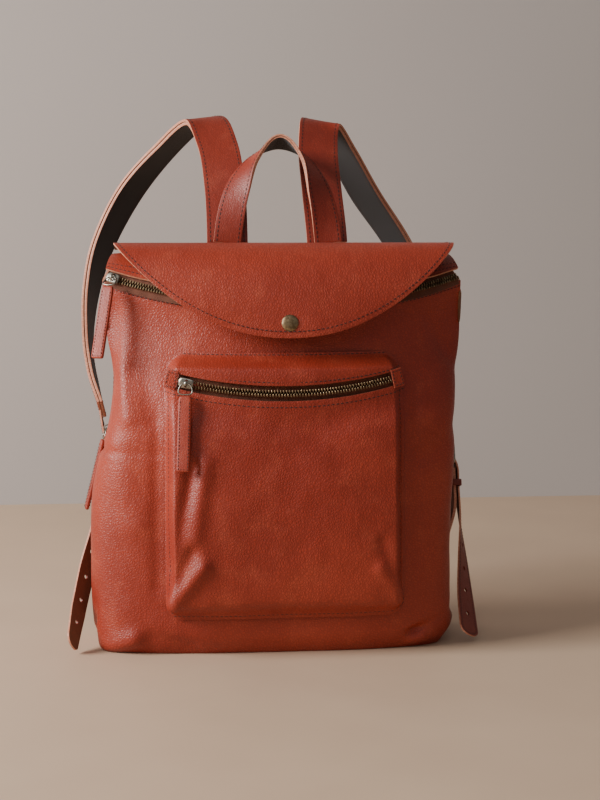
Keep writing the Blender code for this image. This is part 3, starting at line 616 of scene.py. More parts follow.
wrap = {
    "columns": 176, "rows": 120, "gussetPart": 0.15,
    "backGap": 0.0016,
    "gussetTop": 0.3390,
    # runs of points, width and height of each fold
    "folds": (
        (((-0.157, -0.024, 0.056), (-0.166, -0.014, 0.014)), 0.0085, -0.0075),
        (((-0.163, -0.028, 0.002), (-0.134, -0.050, 0.013)), 0.0085, 0.0050),
        (((-0.118, -0.056, 0.016), (-0.085, -0.058, 0.006)), 0.0080, -0.0030),
        (((0.152, -0.006, 0.036), (0.1305, -0.036, 0.027), (0.108, -0.054, 0.013)), 0.0046, -0.0060),
        (((0.1480, -0.010, 0.0195), (0.128, -0.036, 0.013), (0.108, -0.050, 0.006)), 0.0050, 0.0030),
        (((0.150, -0.006, 0.012), (0.144, -0.020, 0.005)), 0.0065, -0.0065),
        (((-0.151, -0.012, 0.300), (-0.149, -0.012, 0.235)), 0.0110, -0.0030),
        (((-0.140, -0.030, 0.300), (-0.143, -0.028, 0.2462), (-0.136, -0.038, 0.2042)), 0.0075, 0.0026),
        (((-0.122, -0.045, 0.296), (-0.124, -0.043, 0.250), (-0.118, -0.050, 0.205)), 0.0090, -0.0026),
        (((-0.1420, -0.036, 0.180), (-0.130, -0.045, 0.115)), 0.0130, 0.0026),
        (((-0.113, -0.052, 0.245), (-0.112, -0.054, 0.060)), 0.0055, -0.0016),
        (((0.128, -0.034, 0.296), (0.146, -0.012, 0.245)), 0.0090, -0.0024),
        (((0.150, -0.020, 0.196), (0.120, -0.047, 0.170)), 0.0090, -0.0018),
        (((0.110, -0.050, 0.240), (0.113, -0.054, 0.080)), 0.0060, -0.0014),
        (((0.156, 0.010, 0.300), (0.150, 0.030, 0.190), (0.148, 0.030, 0.080)), 0.0120, -0.0030),
        (((-0.160, 0.040, 0.080), (-0.166, 0.020, 0.030)), 0.0120, -0.0030),
    ),
}
print("body wrap")


def wrapPlace(u, v):
    level = v * (0.6 + 0.4 * v)
    part = wrap["gussetPart"]
    flare = smooth((level - 0.6) / 0.4)
    if part < u < 1 - part:
        across = wrapShare((u - part) / (1 - 2 * part))
        z = rimZ(across) * level
        half = mix(halfWidth(z, across), bag["rimHalf"], flare)
        return Vector((across * half, frontY(across * halfWidth(z, across), z), z))
    side = -1 if u <= part else 1
    share = 1 - u / part if side < 0 else 1 - (1 - u) / part
    z = mix(rimZ(1), wrap["gussetTop"], share) * level
    extra = (mix(halfWidth(z, side), bag["rimHalf"], flare) - halfWidth(z, side)) * max(1 - share / 0.28,
        0) ** 2
    return Vector((gussetX(z, share, side) + side * extra,
        mix(bag["seamY"], backY(z) - wrap["backGap"], share), z))


def wrapRelief(co):
    top = rimZ(min(abs(co.x) / bag["rimHalf"], 1)) if co.y < bag["seamY"] else wrap["gussetTop"]
    calm = smooth((top - co.z) / 0.022) * smooth((bag["backY"] - 0.004 - co.y) / 0.010)
    if co.x < 0:
        calm *= smooth((abs(co.y - bag["sideZipY"]) - 0.009) / 0.014) if abs(co.z
            - bag["sideZipZ"]) < 0.075 else 1
    waves = noise.noise(co * 15) * 0.0016 + noise.noise(co * 42) * 0.0005
    return calm * (foldHeight(co, wrap["folds"]) + waves)


bodyWrap = gridSheet("bodyWrap", wrap["columns"], wrap["rows"], wrapPlace)
pushed(bodyWrap, wrapRelief)
for vertex in bodyWrap.data.vertices:
    vertex.co.z = max(vertex.co.z, 0.0002)
thickened(bodyWrap, bag["leather"], even=False)
reach = sideZip.radius * math.sin(sideZip.half) + 0.0015
unselect()
bpy.ops.mesh.primitive_cube_add(size=1, location=(-0.1525, bag["sideZipY"], bag["sideZipZ"]))
window = bpy.context.object
window.scale = (0.045, 2 * bag["windowHalf"], 2 * reach)
applied(bodyWrap, "BOOLEAN", operation="DIFFERENCE", object=window)
bpy.data.objects.remove(window)
dressed(bodyWrap, [leather, paleEdge, suede], "bag",
    ("front_panel", "left_gusset", "right_gusset"))

rimStitch = {"inset": 0.0030, "backInset": 0.0045}
seams = []
lowered = 1 - rimStitch["inset"] / 0.30
seams.append(routeOn(wrapPlace, [(mix(0.16, 0.84, k / 260), lowered) for k in range(261)], wrapRelief))
for side in (0, 1):
    across = rimStitch["backInset"] / 0.062 * wrap["gussetPart"]
    column = across if side == 0 else 1 - across
    seams.append(routeOn(wrapPlace, [(column, mix(0.03, 0.985, k / 120)) for k in range(121)], wrapRelief))
dressed(stitchRows("bodySeamStitches", seams), [darkThread], "bag")

# stitching round the side zip's window
sideSeams = []
for sign in (-1, 1):
    run = [mix(-sideZip.half, sideZip.half, k / 80) for k in range(81)]
    sideSeams.append([(sideZip.point(a, sign * 0.0092, 0.0003), sideZip.station(a)[3]) for a in run])
dressed(stitchRows("sideWindowStitches", sideSeams), [darkThread], "bag")

# ---- back panel and base

back = {"columns": 70, "rows": 90, "crown": 0.003, "wide": 0.0014}


def backPlace(u, v):
    a = 1 - 2 * u
    z = bag["height"] * v
    half = bag["backHalf"] - baseInset(z) + back["wide"]
    return Vector((a * half, backY(z) + back["crown"] * (1 - a**2), z))


backSkin = gridSheet("backSkin", back["columns"], back["rows"], backPlace)
pushed(backSkin, lambda co: 0.0008 * noise.noise(co * 16) + foldHeight(co, (
    (((-0.10, 0.056, 0.05), (0.02, 0.057, 0.09)), 0.016, -0.0015),
    (((0.10, 0.056, 0.06), (0.05, 0.057, 0.20)), 0.018, -0.0012))))
thickened(backSkin, bag["leather"], soft=0.0004)
dressed(backSkin, [leather, paleEdge, suede], "bag", ("back_panel",))
backSeams = []
for a in (0.014, 0.986):
    backSeams.append(routeOn(backPlace, [(a, mix(0.01, 0.985, k / 140)) for k in range(141)]))
backSeams.append(routeOn(backPlace, [(mix(0.014, 0.986, k / 140), 0.988) for k in range(141)]))
dressed(stitchRows("backStitches", backSeams), [darkThread], "bag")


def planPoint(turn, z, inset):
    # round the bag's plan, turn from 0 to 1: front from left to right, then the back
    if turn < 0.6:
        across = wrapShare(turn / 0.6)
        half = halfWidth(z, across)
        return Vector((across * (half - inset), frontY(across * half, z) + inset, z))
    s = (turn - 0.6) / 0.4
    rear = backY(z) - inset
    if s < 0.2 or s > 0.8:
        side = 1 if s < 0.2 else -1
        share = s / 0.2 if side > 0 else (1 - s) / 0.2
        return Vector((gussetX(z, share, side) - side * inset, mix(bag["seamY"] + inset, rear, share), z))
    half = bag["backHalf"] - baseInset(z) - inset
    return Vector((mix(half, -half, (s - 0.2) / 0.6), rear, z))


def basePlace(u, v):
    rim = planPoint(u, 0, 0.0030)
    return Vector((0, 0.002, 0)).lerp(rim, v)


basePanel = gridSheet("baseSkin", 150, 14, basePlace)
edited(basePanel, mergeDoubles, facesOut)
for face in basePanel.data.polygons:
    if face.normal.z > 0:
        face.flip()
thickened(basePanel, 0.0019)
dressed(basePanel, [leather, redEdge, suede], "bag", ("base_panel",))
print("back and base")

# ---- lining bag with a slip pocket

liningBag = {"inset": 0.0078, "low": 0.0062, "high": 0.2795, "columns": 150, "rows": 46}


def liningPlace(u, v):
    z = mix(liningBag["low"], liningBag["high"], v)
    spot = planPoint(u, z, liningBag["inset"])
    return spot + Vector((noise.noise(spot * 22), noise.noise(spot * 19 + Vector((3, 0, 0))),
        0)) * 0.0009 * (1 - v)


liningSkin = gridSheet("liningBag", liningBag["columns"], liningBag["rows"], liningPlace)


edited(liningSkin, mergeDoubles)
mesh = bmesh.new()
mesh.from_mesh(liningSkin.data)
floorEdges = [e for e in mesh.edges if e.is_boundary and max(v.co.z for v in e.verts) < liningBag["low"]
    + 0.001]
bmesh.ops.contextual_create(mesh, geom=floorEdges)
bmesh.ops.triangulate(mesh, faces=[f for f in mesh.faces if len(f.verts) > 4])
bmesh.ops.recalc_face_normals(mesh, faces=mesh.faces)
mesh.to_mesh(liningSkin.data)
mesh.free()
thickened(liningSkin, 0.0008)
dressed(liningSkin, [twill, twill, twill], "bag", ("lining",))


def slipPlace(u, v):
    a = 1 - 2 * u
    z = mix(0.035, 0.175, v)
    return Vector((-0.105 * a, backY(z) - 0.0106 - 0.006 * v * (1 - a**4), z))


slipPocket = gridSheet("slipPocket", 40, 20, slipPlace)
thickened(slipPocket, 0.0009)
dressed(slipPocket, [twill, twill, twill], "bag", ("slip_pocket",))
print("lining")

# ---- top cap, in two halves

cap = {"columns": 64, "rows": 26}
capBend = {"start": 0.150, "end": 0.088}


def capPoint(across, share):
    angle = mainZip.half * across
    front = mainZip.point(angle, bag["windowHalf"])
    rear = Vector((0.1435 * across, bag["backTopY"] - 0.0046, bag["height"] - 0.0010))
    bow = mix(0.020, 0.0070, abs(across) ** 2.2) * 4 * share * (1 - share) * (1.25 - 0.5 * share)
    return front.lerp(rear, share) + Vector((0, 0, bow))


for side, name in ((-1, "left"), (1, "right")):
    def capPlace(u, v, side=side):
        across = u - 1 if side < 0 else u
        return capPoint(across, v)

    piece = gridSheet(name + "TopCap", cap["columns"], cap["rows"], capPlace)
    pushed(piece, lambda co: 0.0006 * noise.noise(co * 30) * smooth((0.150
        - abs(co.x)) / 0.03) * smooth(abs(co.x) / 0.02))
    thickened(piece, bag["leather"])
    nodes = ("top_cap",) if side < 0 else ()
    bend = ("cap", (side * capBend["start"], 0, 0.33), (side * capBend["end"], 0, 0.33))
    dressed(piece, [leather, paleEdge, suede], "bag", nodes, bend)
    rows = []
    for v in (0.045, 0.115):
        rows.append(routeOn(capPlace, [(k / 150, v) for k in range(151)]))
    dressed(stitchRows(name + "CapStitches", rows), [darkThread], "bag", (), bend)
print("top cap")

# ---- flap: one skin from the back of the crown, over the fold, to its round edge

flap = {
    "half": 0.1472, "curve": 2.15, "columns": 120, "rows": 84, "crownPart": 0.30,
    "foldY": -0.018, "foldZ": 0.3540, "mouthY": 0.0500, "mouthZ": 0.3470,
    "inset": 0.0036, "drop": 0.108, "thickness": 0.0016,
}
flapKeys = ((-0.0188, 0.3537), (-0.0480, 0.3550), (-0.0665, 0.3305), (-0.0710, 0.2745))


def flapFace(t, x):
    weights = ((1 - t) ** 3, 3 * t * (1 - t) ** 2, 3 * t * t * (1 - t), t**3)
    y = sum(w * key[0] for w, key in zip(weights, flapKeys))
    z = sum(w * key[1] for w, key in zip(weights, flapKeys))
    lip = 0.0012 * smooth((t - 0.75) / 0.25) * math.sin(38 * x + 0.7)
    return Vector((x, y + 0.016 * t * (x / 0.147) ** 2 - lip, z))


def flapSpot(x, reach, v):
    # v runs from the round edge at 0 to the back of the crown at 1
    split = 1 - flap["crownPart"]
    if v < split:
        return flapFace(reach * (1 - v / split), x)
    t = (v - split) / flap["crownPart"]
    y = mix(flap["foldY"] - 0.0008, flap["mouthY"] - 0.0006, t)
    z = mix(flap["foldZ"] - 0.0003, flap["mouthZ"] + 0.0012, t) + 0.0014 * 4 * t * (1 - t)
    return Vector((x, y, z))


def flapReach(x, half=None, full=1.0):
    half = half or flap["half"]
    return max(full * max(1 - (abs(x) / half) ** flap["curve"], 0.0) ** (1 / flap["curve"]), 0.045)


def flapPlace(u, v):
    x = flap["half"] * math.sin(math.pi / 2 * (2 * u - 1))
    return flapSpot(x, flapReach(x), v)


flapBend = ("flap", (0, -0.011, 0.354), (0, -0.031, 0.350))
flapSkin = gridSheet("flapSkin", flap["columns"], flap["rows"], flapPlace)
snapAt, snapOut = Vector((0, -0.0697, 0.2870)), Vector((0, -0.99206, 0.12575))
pushed(flapSkin, lambda co: -0.0007 * math.exp(-(((co - snapAt).length / 0.0105) ** 2))
       + 0.0007 * noise.noise(co * 17) * smooth((0.35 - co.z) / 0.03))
thickened(flapSkin, flap["thickness"], soft=0.0003)
dressed(flapSkin, [leather, paleEdge, suede], "cap", ("flap", "flap_crown"), flapBend)


def flapLiningPlace(u, v):
    half = flap["half"] - 0.0045
    x = half * math.sin(math.pi / 2 * (2 * u - 1))
    reach = flapReach(x, half, 0.965)
    here = flapSpot(x, reach, v * 0.70)
    above = flapSpot(x, reach, v * 0.70 + 0.01)
    out = Vector((1, 0, 0)).cross(above - here).normalized()
    return here - out * 0.0021


flapLining = gridSheet("flapLining", 90, 50, flapLiningPlace)
thickened(flapLining, 0.0006)
dressed(flapLining, [flapCloth, flapCloth, flapCloth], "cap", ("flap_lining",), flapBend)

innerHalf, innerDrop = flap["half"] - flap["inset"], 1 - flap["inset"] / flap["drop"]
edgeRoute = []
for k in range(421):
    turn = math.pi * mix(0.012, 0.988, k / 420)
    power = 2 / flap["curve"]
    x = -innerHalf * math.copysign(abs(math.cos(turn)) ** power, math.cos(turn))
    t = innerDrop * math.sin(turn) ** power
    here, ahead = flapFace(t, x), flapFace(t + 0.01, x)
    edgeRoute.append((here, (ahead - here).cross(Vector((1, 0, 0)))))
crownRows = [edgeRoute]
for x in (-innerHalf, innerHalf):
    crownRows.append([(flapSpot(x, 0.05, v) , Vector((0, 0, 1))) for v in (mix(0.71, 0.985,
        k / 40) for k in range(41))])
crownRows.append([(flapSpot(x, 0.05, 0.975), Vector((0, 0, 1))) for x in (mix(-innerHalf, innerHalf,
    k / 80) for k in range(81))])
dressed(stitchRows("flapStitches", crownRows, lift=0.0001), [darkThread], "cap", (), flapBend)

# snap on the flap
snapPlace = frameAt(snapAt, snapOut, (0, 0, 1))
snapProfile = [(0.0, 0.0020), (0.0025, 0.00195), (0.0046, 0.0017), (0.0060, 0.0012), (0.0068, 0.0007),
    (0.0072, 0.0001),
               (0.0070, -0.0005), (0.0021, -0.0006), (0.0021, -0.0034), (0.0, -0.0034)]
snapCap = turnedPiece("snapCap", snapProfile, snapPlace)
dressed(snapCap, [brass], "flap", ("snap_cap",))
print("flap and snap")

# ---- zips: tapes, teeth, slider, ring and pull

zipper = {"toothPitch": 0.0025, "tapeHigh": -0.0043, "tapeWide": 0.0085}


def toothShape(size):
    # one tooth, with its head towards the other row
    unselect()
    bpy.ops.mesh.primitive_cube_add(size=1)
    seed = bpy.context.object
    corners = []
    for v in seed.data.vertices:
        narrow = 0.62 if v.co.y > 0 else 1.0
        corners.append(Vector((v.co.x * size.x * narrow, v.co.y * size.y, v.co.z * size.z)))
    faces = [tuple(f.vertices) for f in seed.data.polygons]
    bpy.data.objects.remove(seed)
    return corners, faces


def teethRow(name, line, side, start, end):
    # one row of teeth along an arc, from one angle to another
    seeds, seedFaces = toothShape(Vector((0.00125, 0.0029, 0.0018)))
    count = max(int(abs(end - start) * line.radius / zipper["toothPitch"]), 1)
    corners, faces = [], []
    for k in range(count):
        shift = 0.25 if side > 0 else 0.75
        here, tangent, across, out = line.station(mix(start, end, (k + shift) / count))
        first = len(corners)
        for c in seeds:
            spot = here + tangent * c.x - across * (side * (c.y - 0.0015)) + out * (c.z - 0.0017)
            corners.append(spot)
        faces += [tuple(first + i for i in face) for face in seedFaces]
    mesh = bpy.data.meshes.new(name)
    mesh.from_pydata([tuple(c) for c in corners], [], faces)
    piece = bpy.data.objects.new(name, mesh)
    bpy.context.scene.collection.objects.link(piece)
    edited(piece, facesOut)
    return applied(piece, "BEVEL", width=0.0002, segments=1)


def tapeStrip(name, line, side, start, end):
    def at(u, v):
        angle = mix(start, end, u)
        share = abs(angle) / line.half
        wide = mix(zipper["tapeWide"], 0.0066, share**4)
        across = mix(0.0014, wide, v) if side > 0 else mix(-wide, -0.0014, v)
        return line.point(angle, across, zipper["tapeHigh"]
            + 0.0004 * smooth((0.0035 - abs(across)) / 0.002))

    piece = gridSheet(name, 90, 8, at)
    return thickened(piece, 0.0007)


zipKinds = {
    "main": (mainZip, 0.7, ("upper", "lower"), mainTapeCloth),
    "pocket": (pocketZip, 0.8, ("upper", "lower"), smallTapeCloth),
    "side": (sideZip, 0.2, ("back", "front"), smallTapeCloth),
}
for kind, (line, margin, rows, cloth) in zipKinds.items():
    end = line.half - math.radians(margin)
    for sign, row in zip((1, -1), rows):
        if kind == "main" and row == "upper":
            halves = ((-end, 0, -1), (0, end, 1))
        else:
            halves = ((-end, end, 0),)
        for start, stop, side in halves:
            tag = {-1: "Left", 0: "", 1: "Right"}[side]
            bend = None
            if side:
                bend = ("cap", (side * capBend["start"], 0, 0.33), (side * capBend["end"], 0, 0.33))
            owned = side < 1
            teeth = teethRow(f"{kind}{row.title()}Teeth{tag}", line, sign, start, stop)
            dressed(teeth, [brass], "bag", (f"{kind}_chain_{row}",) if owned else (), bend)
            tape = tapeStrip(f"{kind}{row.title()}Tape{tag}", line, sign, start, stop)
            dressed(tape, [cloth, cloth, cloth], "bag",
                (f"{kind}_tape_{row}",) if owned else (), bend)


pulls = {
    "main": (mainZip, -31.4, (-0.46, -0.885, 0), 46, 19),
    "pocket": (pocketZip, -17.0, (-0.2, -0.98, 0), 14, 12),
    "side": (sideZip, -9.2, (-1, -0.12, 0), 17, 14),
    "tabWide": 0.0115, "tabThick": 0.0034, "ringDrop": 0.0095,
}


def sliderPiece(kind, line, angle, alongSpan):
    here, tangent, across, out = line.station(angle)
    outline = ((-0.0065, 0.0022), (-0.0052, 0.0037), (-0.0036, 0.0045), (0.0028, 0.0045), (0.0050, 0.0042),
        (0.0060, 0.0034))
    ring = [*outline, *((a, -b) for a, b in reversed(outline))]
    layers = ((0.0001, 0.90), (0.0003, 1.0), (0.0011, 0.98), (0.0016, 0.88), (0.0018, 0.74), (0.0019, 0.0))
    count = len(ring)

    def at(u, v):
        a, b = ring[round(u * count) % count]
        lift, scale = layers[round(v * (len(layers) - 1))]
        return here + tangent * a * scale + across * b * scale + out * lift

    body = gridSheet(f"{kind}Slider", count, len(layers) - 1, at)
    edited(body, mergeDoubles, facesOut)
    span = tangent if alongSpan else across

    def bail(u, v):
        turn = math.pi * u
        middle = here - span * 0.0030 * math.cos(turn) + out * (0.0010 + 0.0040 * math.sin(turn))
        radial = (-span * math.cos(turn) + out * math.sin(turn)).normalized()
        other = span.cross(out)
        spin = 2 * math.pi * v
        return middle + radial * 0.0006 * math.cos(spin) + other * 0.0011 * math.sin(spin)

    arch = gridSheet(f"{kind}Bail", 18, 10, bail)
    edited(arch, mergeDoubles, facesOut)
    pickOnly(body)
    arch.select_set(True)
    bpy.ops.object.join()
    return body


def pullTab(kind, bar, down, side):
    front = down.cross(side)
    wide, thick = pulls["tabWide"] / 2, pulls["tabThick"] / 2
    stations = ((0.0011, 0.62, 0.55), (0.0016, 0.80, 0.80), (0.0030, 0.96, 0.97), (0.008, 1, 1),
        (0.016, 1, 1), (0.024, 1, 1),
                (0.034, 1, 1), (0.044, 1, 1), (0.054, 1, 1), (0.0610, 1, 1), (0.0640, 0.97, 0.95), (0.0652,
                    0.90, 0.75))
    section = ((1, -0.45), (1, 0.45), (0.92, 0.86), (0.70, 1.0), (0, 1.04), (-0.70, 1.0), (-0.92, 0.86),
        (-1, 0.45), (-1, -0.45),
               (-0.92, -0.86), (-0.70, -1.0), (0, -1.04), (0.70, -1.0), (0.92, -0.86))
    count = len(section)

    def at(u, v):
        a, b = section[round(u * count) % count]
        along, scale, thin = stations[round(v * (len(stations) - 1))]
        spread = 1 + 0.10 * math.exp(-(((along - 0.0045) / 0.003) ** 2)) * (abs(b) > 0.9)
        spot = bar + down * along + side * a * wide * scale + front * b * thick * thin * spread
        return spot + front * 0.0004 * noise.noise(spot * 60)

    tab = gridSheet(f"{kind}Pull", count, len(stations) - 1, at)
    edited(tab, mergeDoubles)
    edited(tab, lambda: bpy.ops.mesh.fill_holes(sides=0), facesOut)
    applied(tab, "SUBSURF", levels=1, render_levels=1)
    rows = []
    for face in (1, -1):
        inset = wide - 0.0018
        loop = []
        for k in range(60):
            loop.append((bar + down * mix(0.0060, 0.0632, k / 59) + side * inset
                + front * face * thick * 1.01, front * face))
        for k in range(12):
            loop.append((bar + down * 0.0632 + side * mix(inset, -inset, k / 11)
                + front * face * thick * 1.01, front * face))
        for k in range(60):
            loop.append((bar + down * mix(0.0632, 0.0060, k / 59) - side * inset
                + front * face * thick * 1.01, front * face))
        rows.append(loop)
    stitches = stitchRows(f"{kind}PullStitches", rows, lift=0.0001, length=0.0020, pitch=0.0028,
        width=0.0006, height=0.0005)
    return tab, stitches


for kind in zipKinds:
    line, angle, face, ringLean, tabLean = pulls[kind]
    angle = math.radians(angle)
    slider = sliderPiece(kind, line, angle, kind == "side")
    dressed(slider, [nickel], f"{kind}_slider", (f"{kind}_slider",))
    hang = line.point(angle, 0, 0.0030)
    face = Vector(face).normalized()
    side = Vector((0, 0, 1)).cross(face)
    lean = math.radians(ringLean)
    down = Vector((0, 0, -1)) * math.cos(lean) + face * math.sin(lean)
    half, drop = pulls["tabWide"] / 2 + 0.0012, pulls["ringDrop"]
    centres = []
    for k in range(44):
        wide, tall = rounded(2 * math.pi * k / 44, 0.75)
        centres.append(hang + side * half * wide * mix(0.62, 1, (1 - tall) / 2)
            + down * drop * (1 - tall) / 2)
    ring = wirePiece(f"{kind}Ring", centres, down.cross(side).normalized(), 0.0006)
    dressed(ring, [nickel], f"{kind}_ring", (f"{kind}_ring",))
    bar = hang + down * drop
    lean = math.radians(tabLean)
    down = Vector((0, 0, -1)) * math.cos(lean) + face * math.sin(lean)
    tab, stitches = pullTab(kind, bar, down, side)
    dressed(tab, [pullLeather], f"{kind}_tab", (f"{kind}_tab",))
    dressed(stitches, [darkThread], f"{kind}_tab")
print("zips and pulls")

# ---- front pocket

pocket = {
    "middle": -0.0035, "half": 0.1025, "low": 0.0335, "high": 0.2610,
    "depths": (0.0165, 0.0185, 0.0195, 0.0190, 0.0178, 0.0160, 0.0135, 0.0120, 0.0110),
    "thickness": 0.0018, "columns": 110, "rows": 70, "yokeRows": 30,
    "folds": (
        (((-0.104, -0.070, 0.044), (-0.074, -0.078, 0.082)), 0.0065, 0.0048),
        (((-0.095, -0.070, 0.070), (-0.084, -0.075, 0.094)), 0.0055, -0.0046),
        (((-0.083, -0.074, 0.165), (-0.091, -0.072, 0.117), (-0.097, -0.069, 0.080)), 0.0060, -0.0036),
        (((-0.072, -0.074, 0.170), (-0.080, -0.074, 0.108)), 0.0070, 0.0026),
        (((0.098, -0.064, 0.044), (0.0765, -0.074, 0.078)), 0.0060, 0.0036),
        (((0.088, -0.068, 0.074), (0.078, -0.075, 0.100)), 0.0055, -0.0026),
        (((-0.060, -0.078, 0.046), (0.060, -0.078, 0.044)), 0.0060, -0.0008),
        (((0.020, -0.078, 0.190), (0.075, -0.076, 0.150)), 0.0140, -0.0012),
    ),
}


def pocketHalf(z):
    top = max(z - (pocket["high"] - 0.024), 0.0) / 0.024
    low = max((pocket["low"] + 0.016) - z, 0.0) / 0.016
    topDraw = 0.020 * (1 - math.sqrt(max(1 - top**2, 0.0)))
    lowDraw = 0.012 * (1 - math.sqrt(max(1 - low**2, 0.0)))
    return pocket["half"] - topDraw - lowDraw


def pocketEdge(x, across):
    return pocketZip.point(math.asin((x - pocket["middle"]) / pocketZip.radius), across)


def pocketFace(across, z):
    x = pocket["middle"] + across * pocketHalf(z)
    panel = frontY(x, z)
    teeth = pocketEdge(x, 0)
    depth = curveThrough(pocket["depths"], (z - pocket["low"]) / (pocket["high"] - pocket["low"]))
    full = mix(teeth.y, panel - depth, smooth((abs(z - teeth.z) - 0.010) / 0.030))
    share = smooth((1 - abs(across)) / 0.085)
    share *= smooth((z - pocket["low"]) / 0.016) * smooth((pocket["high"] - z) / 0.014)
    return Vector((x, mix(panel - 0.0031, full, share), z))


def pocketPlace(low, high):
    def at(u, v):
        across = math.sin(math.pi / 2 * (2 * u - 1))
        x = pocket["middle"] + across * pocket["half"]
        return pocketFace(across, mix(low(x), high(x), v))

    return at


def pocketRelief(co):
    teeth = pocketEdge(min(max(co.x, -0.10), 0.09), 0).z
    calm = smooth((abs(co.z - teeth) - 0.010) / 0.02) * smooth((co.z - pocket["low"] + 0.006) / 0.010)
    return calm * (foldHeight(co, pocket["folds"]) + 0.0012 * noise.noise(co * 19)
        + 0.0004 * noise.noise(co * 50))


windowHalf = bag["windowHalf"]
pocketPlain = pocketPlace(lambda x: pocket["low"], lambda x: pocketEdge(x, -windowHalf).z)
pocketSkin = gridSheet("pocketFront", pocket["columns"], pocket["rows"], pocketPlain)
pushed(pocketSkin, pocketRelief)
thickened(pocketSkin, pocket["thickness"], soft=0.0003)
dressed(pocketSkin, [leather, redEdge, suede], "bag", ("pocket_front",))
yokePlain = pocketPlace(lambda x: pocketEdge(x, windowHalf).z, lambda x: pocket["high"])
yoke = gridSheet("pocketYoke", pocket["columns"], pocket["yokeRows"], yokePlain)
pushed(yoke, lambda co: 0.0006 * noise.noise(co * 22) * smooth((pocket["high"] - co.z) / 0.01))
thickened(yoke, pocket["thickness"], soft=0.0003)
dressed(yoke, [leather, redEdge, suede], "bag", ("pocket_yoke",))

lowRows = [
    routeOn(pocketPlain, [(k / 200, 0.972) for k in range(4, 197)], pocketRelief),
    routeOn(pocketPlain, [(k / 200, 0.016) for k in range(10, 191)], pocketRelief),
    routeOn(pocketPlain, [(0.085, k / 120) for k in range(3, 119)], pocketRelief),
    routeOn(pocketPlain, [(0.915, k / 120) for k in range(3, 119)], pocketRelief),
]
highRows = [
    routeOn(yokePlain, [(k / 200, 0.10) for k in range(4, 197)]),
    routeOn(yokePlain, [(k / 200, 0.93) for k in range(14, 187)]),
]
dressed(stitchRows("pocketStitches", lowRows + highRows), [darkThread], "bag")

for side, name in ((-1, "Left"), (1, "Right")):
    start, stop = sorted((side * pocketZip.half * 0.955, side * pocketZip.half * 1.058))

    def tabPlace(u, v, start=start, stop=stop):
        u, v = mix(0.02, 0.98, u), mix(0.02, 0.98, v)
        return pocketZip.point(mix(start, stop, u), mix(-0.0082, 0.0082, v), 0.0019)

    endTab = gridSheet(f"pocketEndTab{name}", 14, 16, tabPlace)
    thickened(endTab, 0.0015, soft=0.0003)
    dressed(endTab, [leather, redEdge, suede], "bag", (f"pocket_end_tab_{name.lower()}",))
    border = [(0.14, 0.12), (0.86, 0.12), (0.86, 0.88), (0.14, 0.88), (0.14, 0.12)]
    spots = []
    for (a, b), (c, d) in zip(border, border[1:]):
        spots += [(mix(a, c, k / 10), mix(b, d, k / 10)) for k in range(10)]
    dressed(stitchRows(f"pocketTabStitches{name}", [routeOn(tabPlace, spots)], pitch=0.003, length=0.0022),
            [darkThread], "bag")
print("front pocket")

# ---- handle and shoulder straps

handleLine = Ribbon(
    ((-0.0475, 0.0520, 0.3075), (-0.0460, 0.0530, 0.3525), (-0.0375, 0.0580, 0.3955),
        (-0.0215, 0.0665, 0.4275),
     (0.0030, 0.0725, 0.4440), (0.0260, 0.0665, 0.4285), (0.0390, 0.0580, 0.3955), (0.0460, 0.0530, 0.3525),
     (0.0475, 0.0520, 0.3075)),
    ((0, -1, 0), (0, -1, 0), (-0.45, -0.9, 0.1), (-0.75, -0.25, 0.6), (0, 0.42, 0.9), (0.75, -0.25, 0.6),
     (0.45, -0.9, 0.1), (0, -1, 0), (0, -1, 0)))
strapOuts = ((0, -1, 0), (0, -1, 0.1), (-0.05, -0.9, 0.4), (-0.1, -0.5, 0.85), (-0.3, 0.2, 0.9),
    (-0.55, 0.45, 0.7),
             (-0.7, 0.6, 0.4), (-0.85, 0.5, 0.2), (-0.95, 0.3, 0.05), (-0.99, 0.1, -0.1), (-0.97, 0.2,
                 -0.1), (-0.97, 0.2, 0))
leftLine = Ribbon(
    ((-0.0460, 0.0575, 0.3075), (-0.0455, 0.0590, 0.3525), (-0.0465, 0.0760, 0.4005),
        (-0.0520, 0.0980, 0.4415),
     (-0.0660, 0.1250, 0.4665), (-0.0980, 0.1580, 0.4415), (-0.1330, 0.1780, 0.4005), (-0.1600, 0.1820,
         0.3495),
     (-0.1725, 0.1700, 0.3025), (-0.1750, 0.1450, 0.2575), (-0.1690, 0.1120, 0.2225), (-0.1612, 0.0850,
         0.1985)),
    strapOuts)
rightLine = Ribbon(
    ((0.0460, 0.0575, 0.3075), (0.0455, 0.0590, 0.3525), (0.0425, 0.0780, 0.4005), (0.0410, 0.0960, 0.4375),
     (0.0470, 0.1200, 0.4640), (0.0690, 0.1470, 0.4395), (0.0960, 0.1680, 0.3975), (0.1290, 0.1820, 0.3525),
     (0.1520, 0.1740, 0.3055), (0.1640, 0.1480, 0.2595), (0.1660, 0.1130, 0.2235), (0.1612, 0.0850,
         0.1985)),
    tuple((-x, y, z) for x, y, z in strapOuts))


def ribbonPiece(name, line, start, stop, width, low, high, columns, rows, wave=0.0, cut=0.0003):
    # a flat strip along a ribbon; width is a number or a function of t, low and high are its two faces
    wide = width if callable(width) else (lambda t: width)

    def at(u, v):
        t = mix(start, stop, v)
        lift = high + wave * noise.noise(line.station(t)[0] * 45 + Vector((u, 0, 0)))
        return line.point(t, (u - 0.5) * wide(t), lift)

    piece = gridSheet(name, columns, rows, at)
    return thickened(piece, high - low, soft=cut)


def ribbonRoute(line, start, stop, acrossBy, lift, count=160):
    route = []
    for k in range(count + 1):
        t = mix(start, stop, k / count)
        spot = line.station(t)
        by = acrossBy(t) if callable(acrossBy) else acrossBy
        route.append((line.point(t, by, lift), spot[2]))
    return route


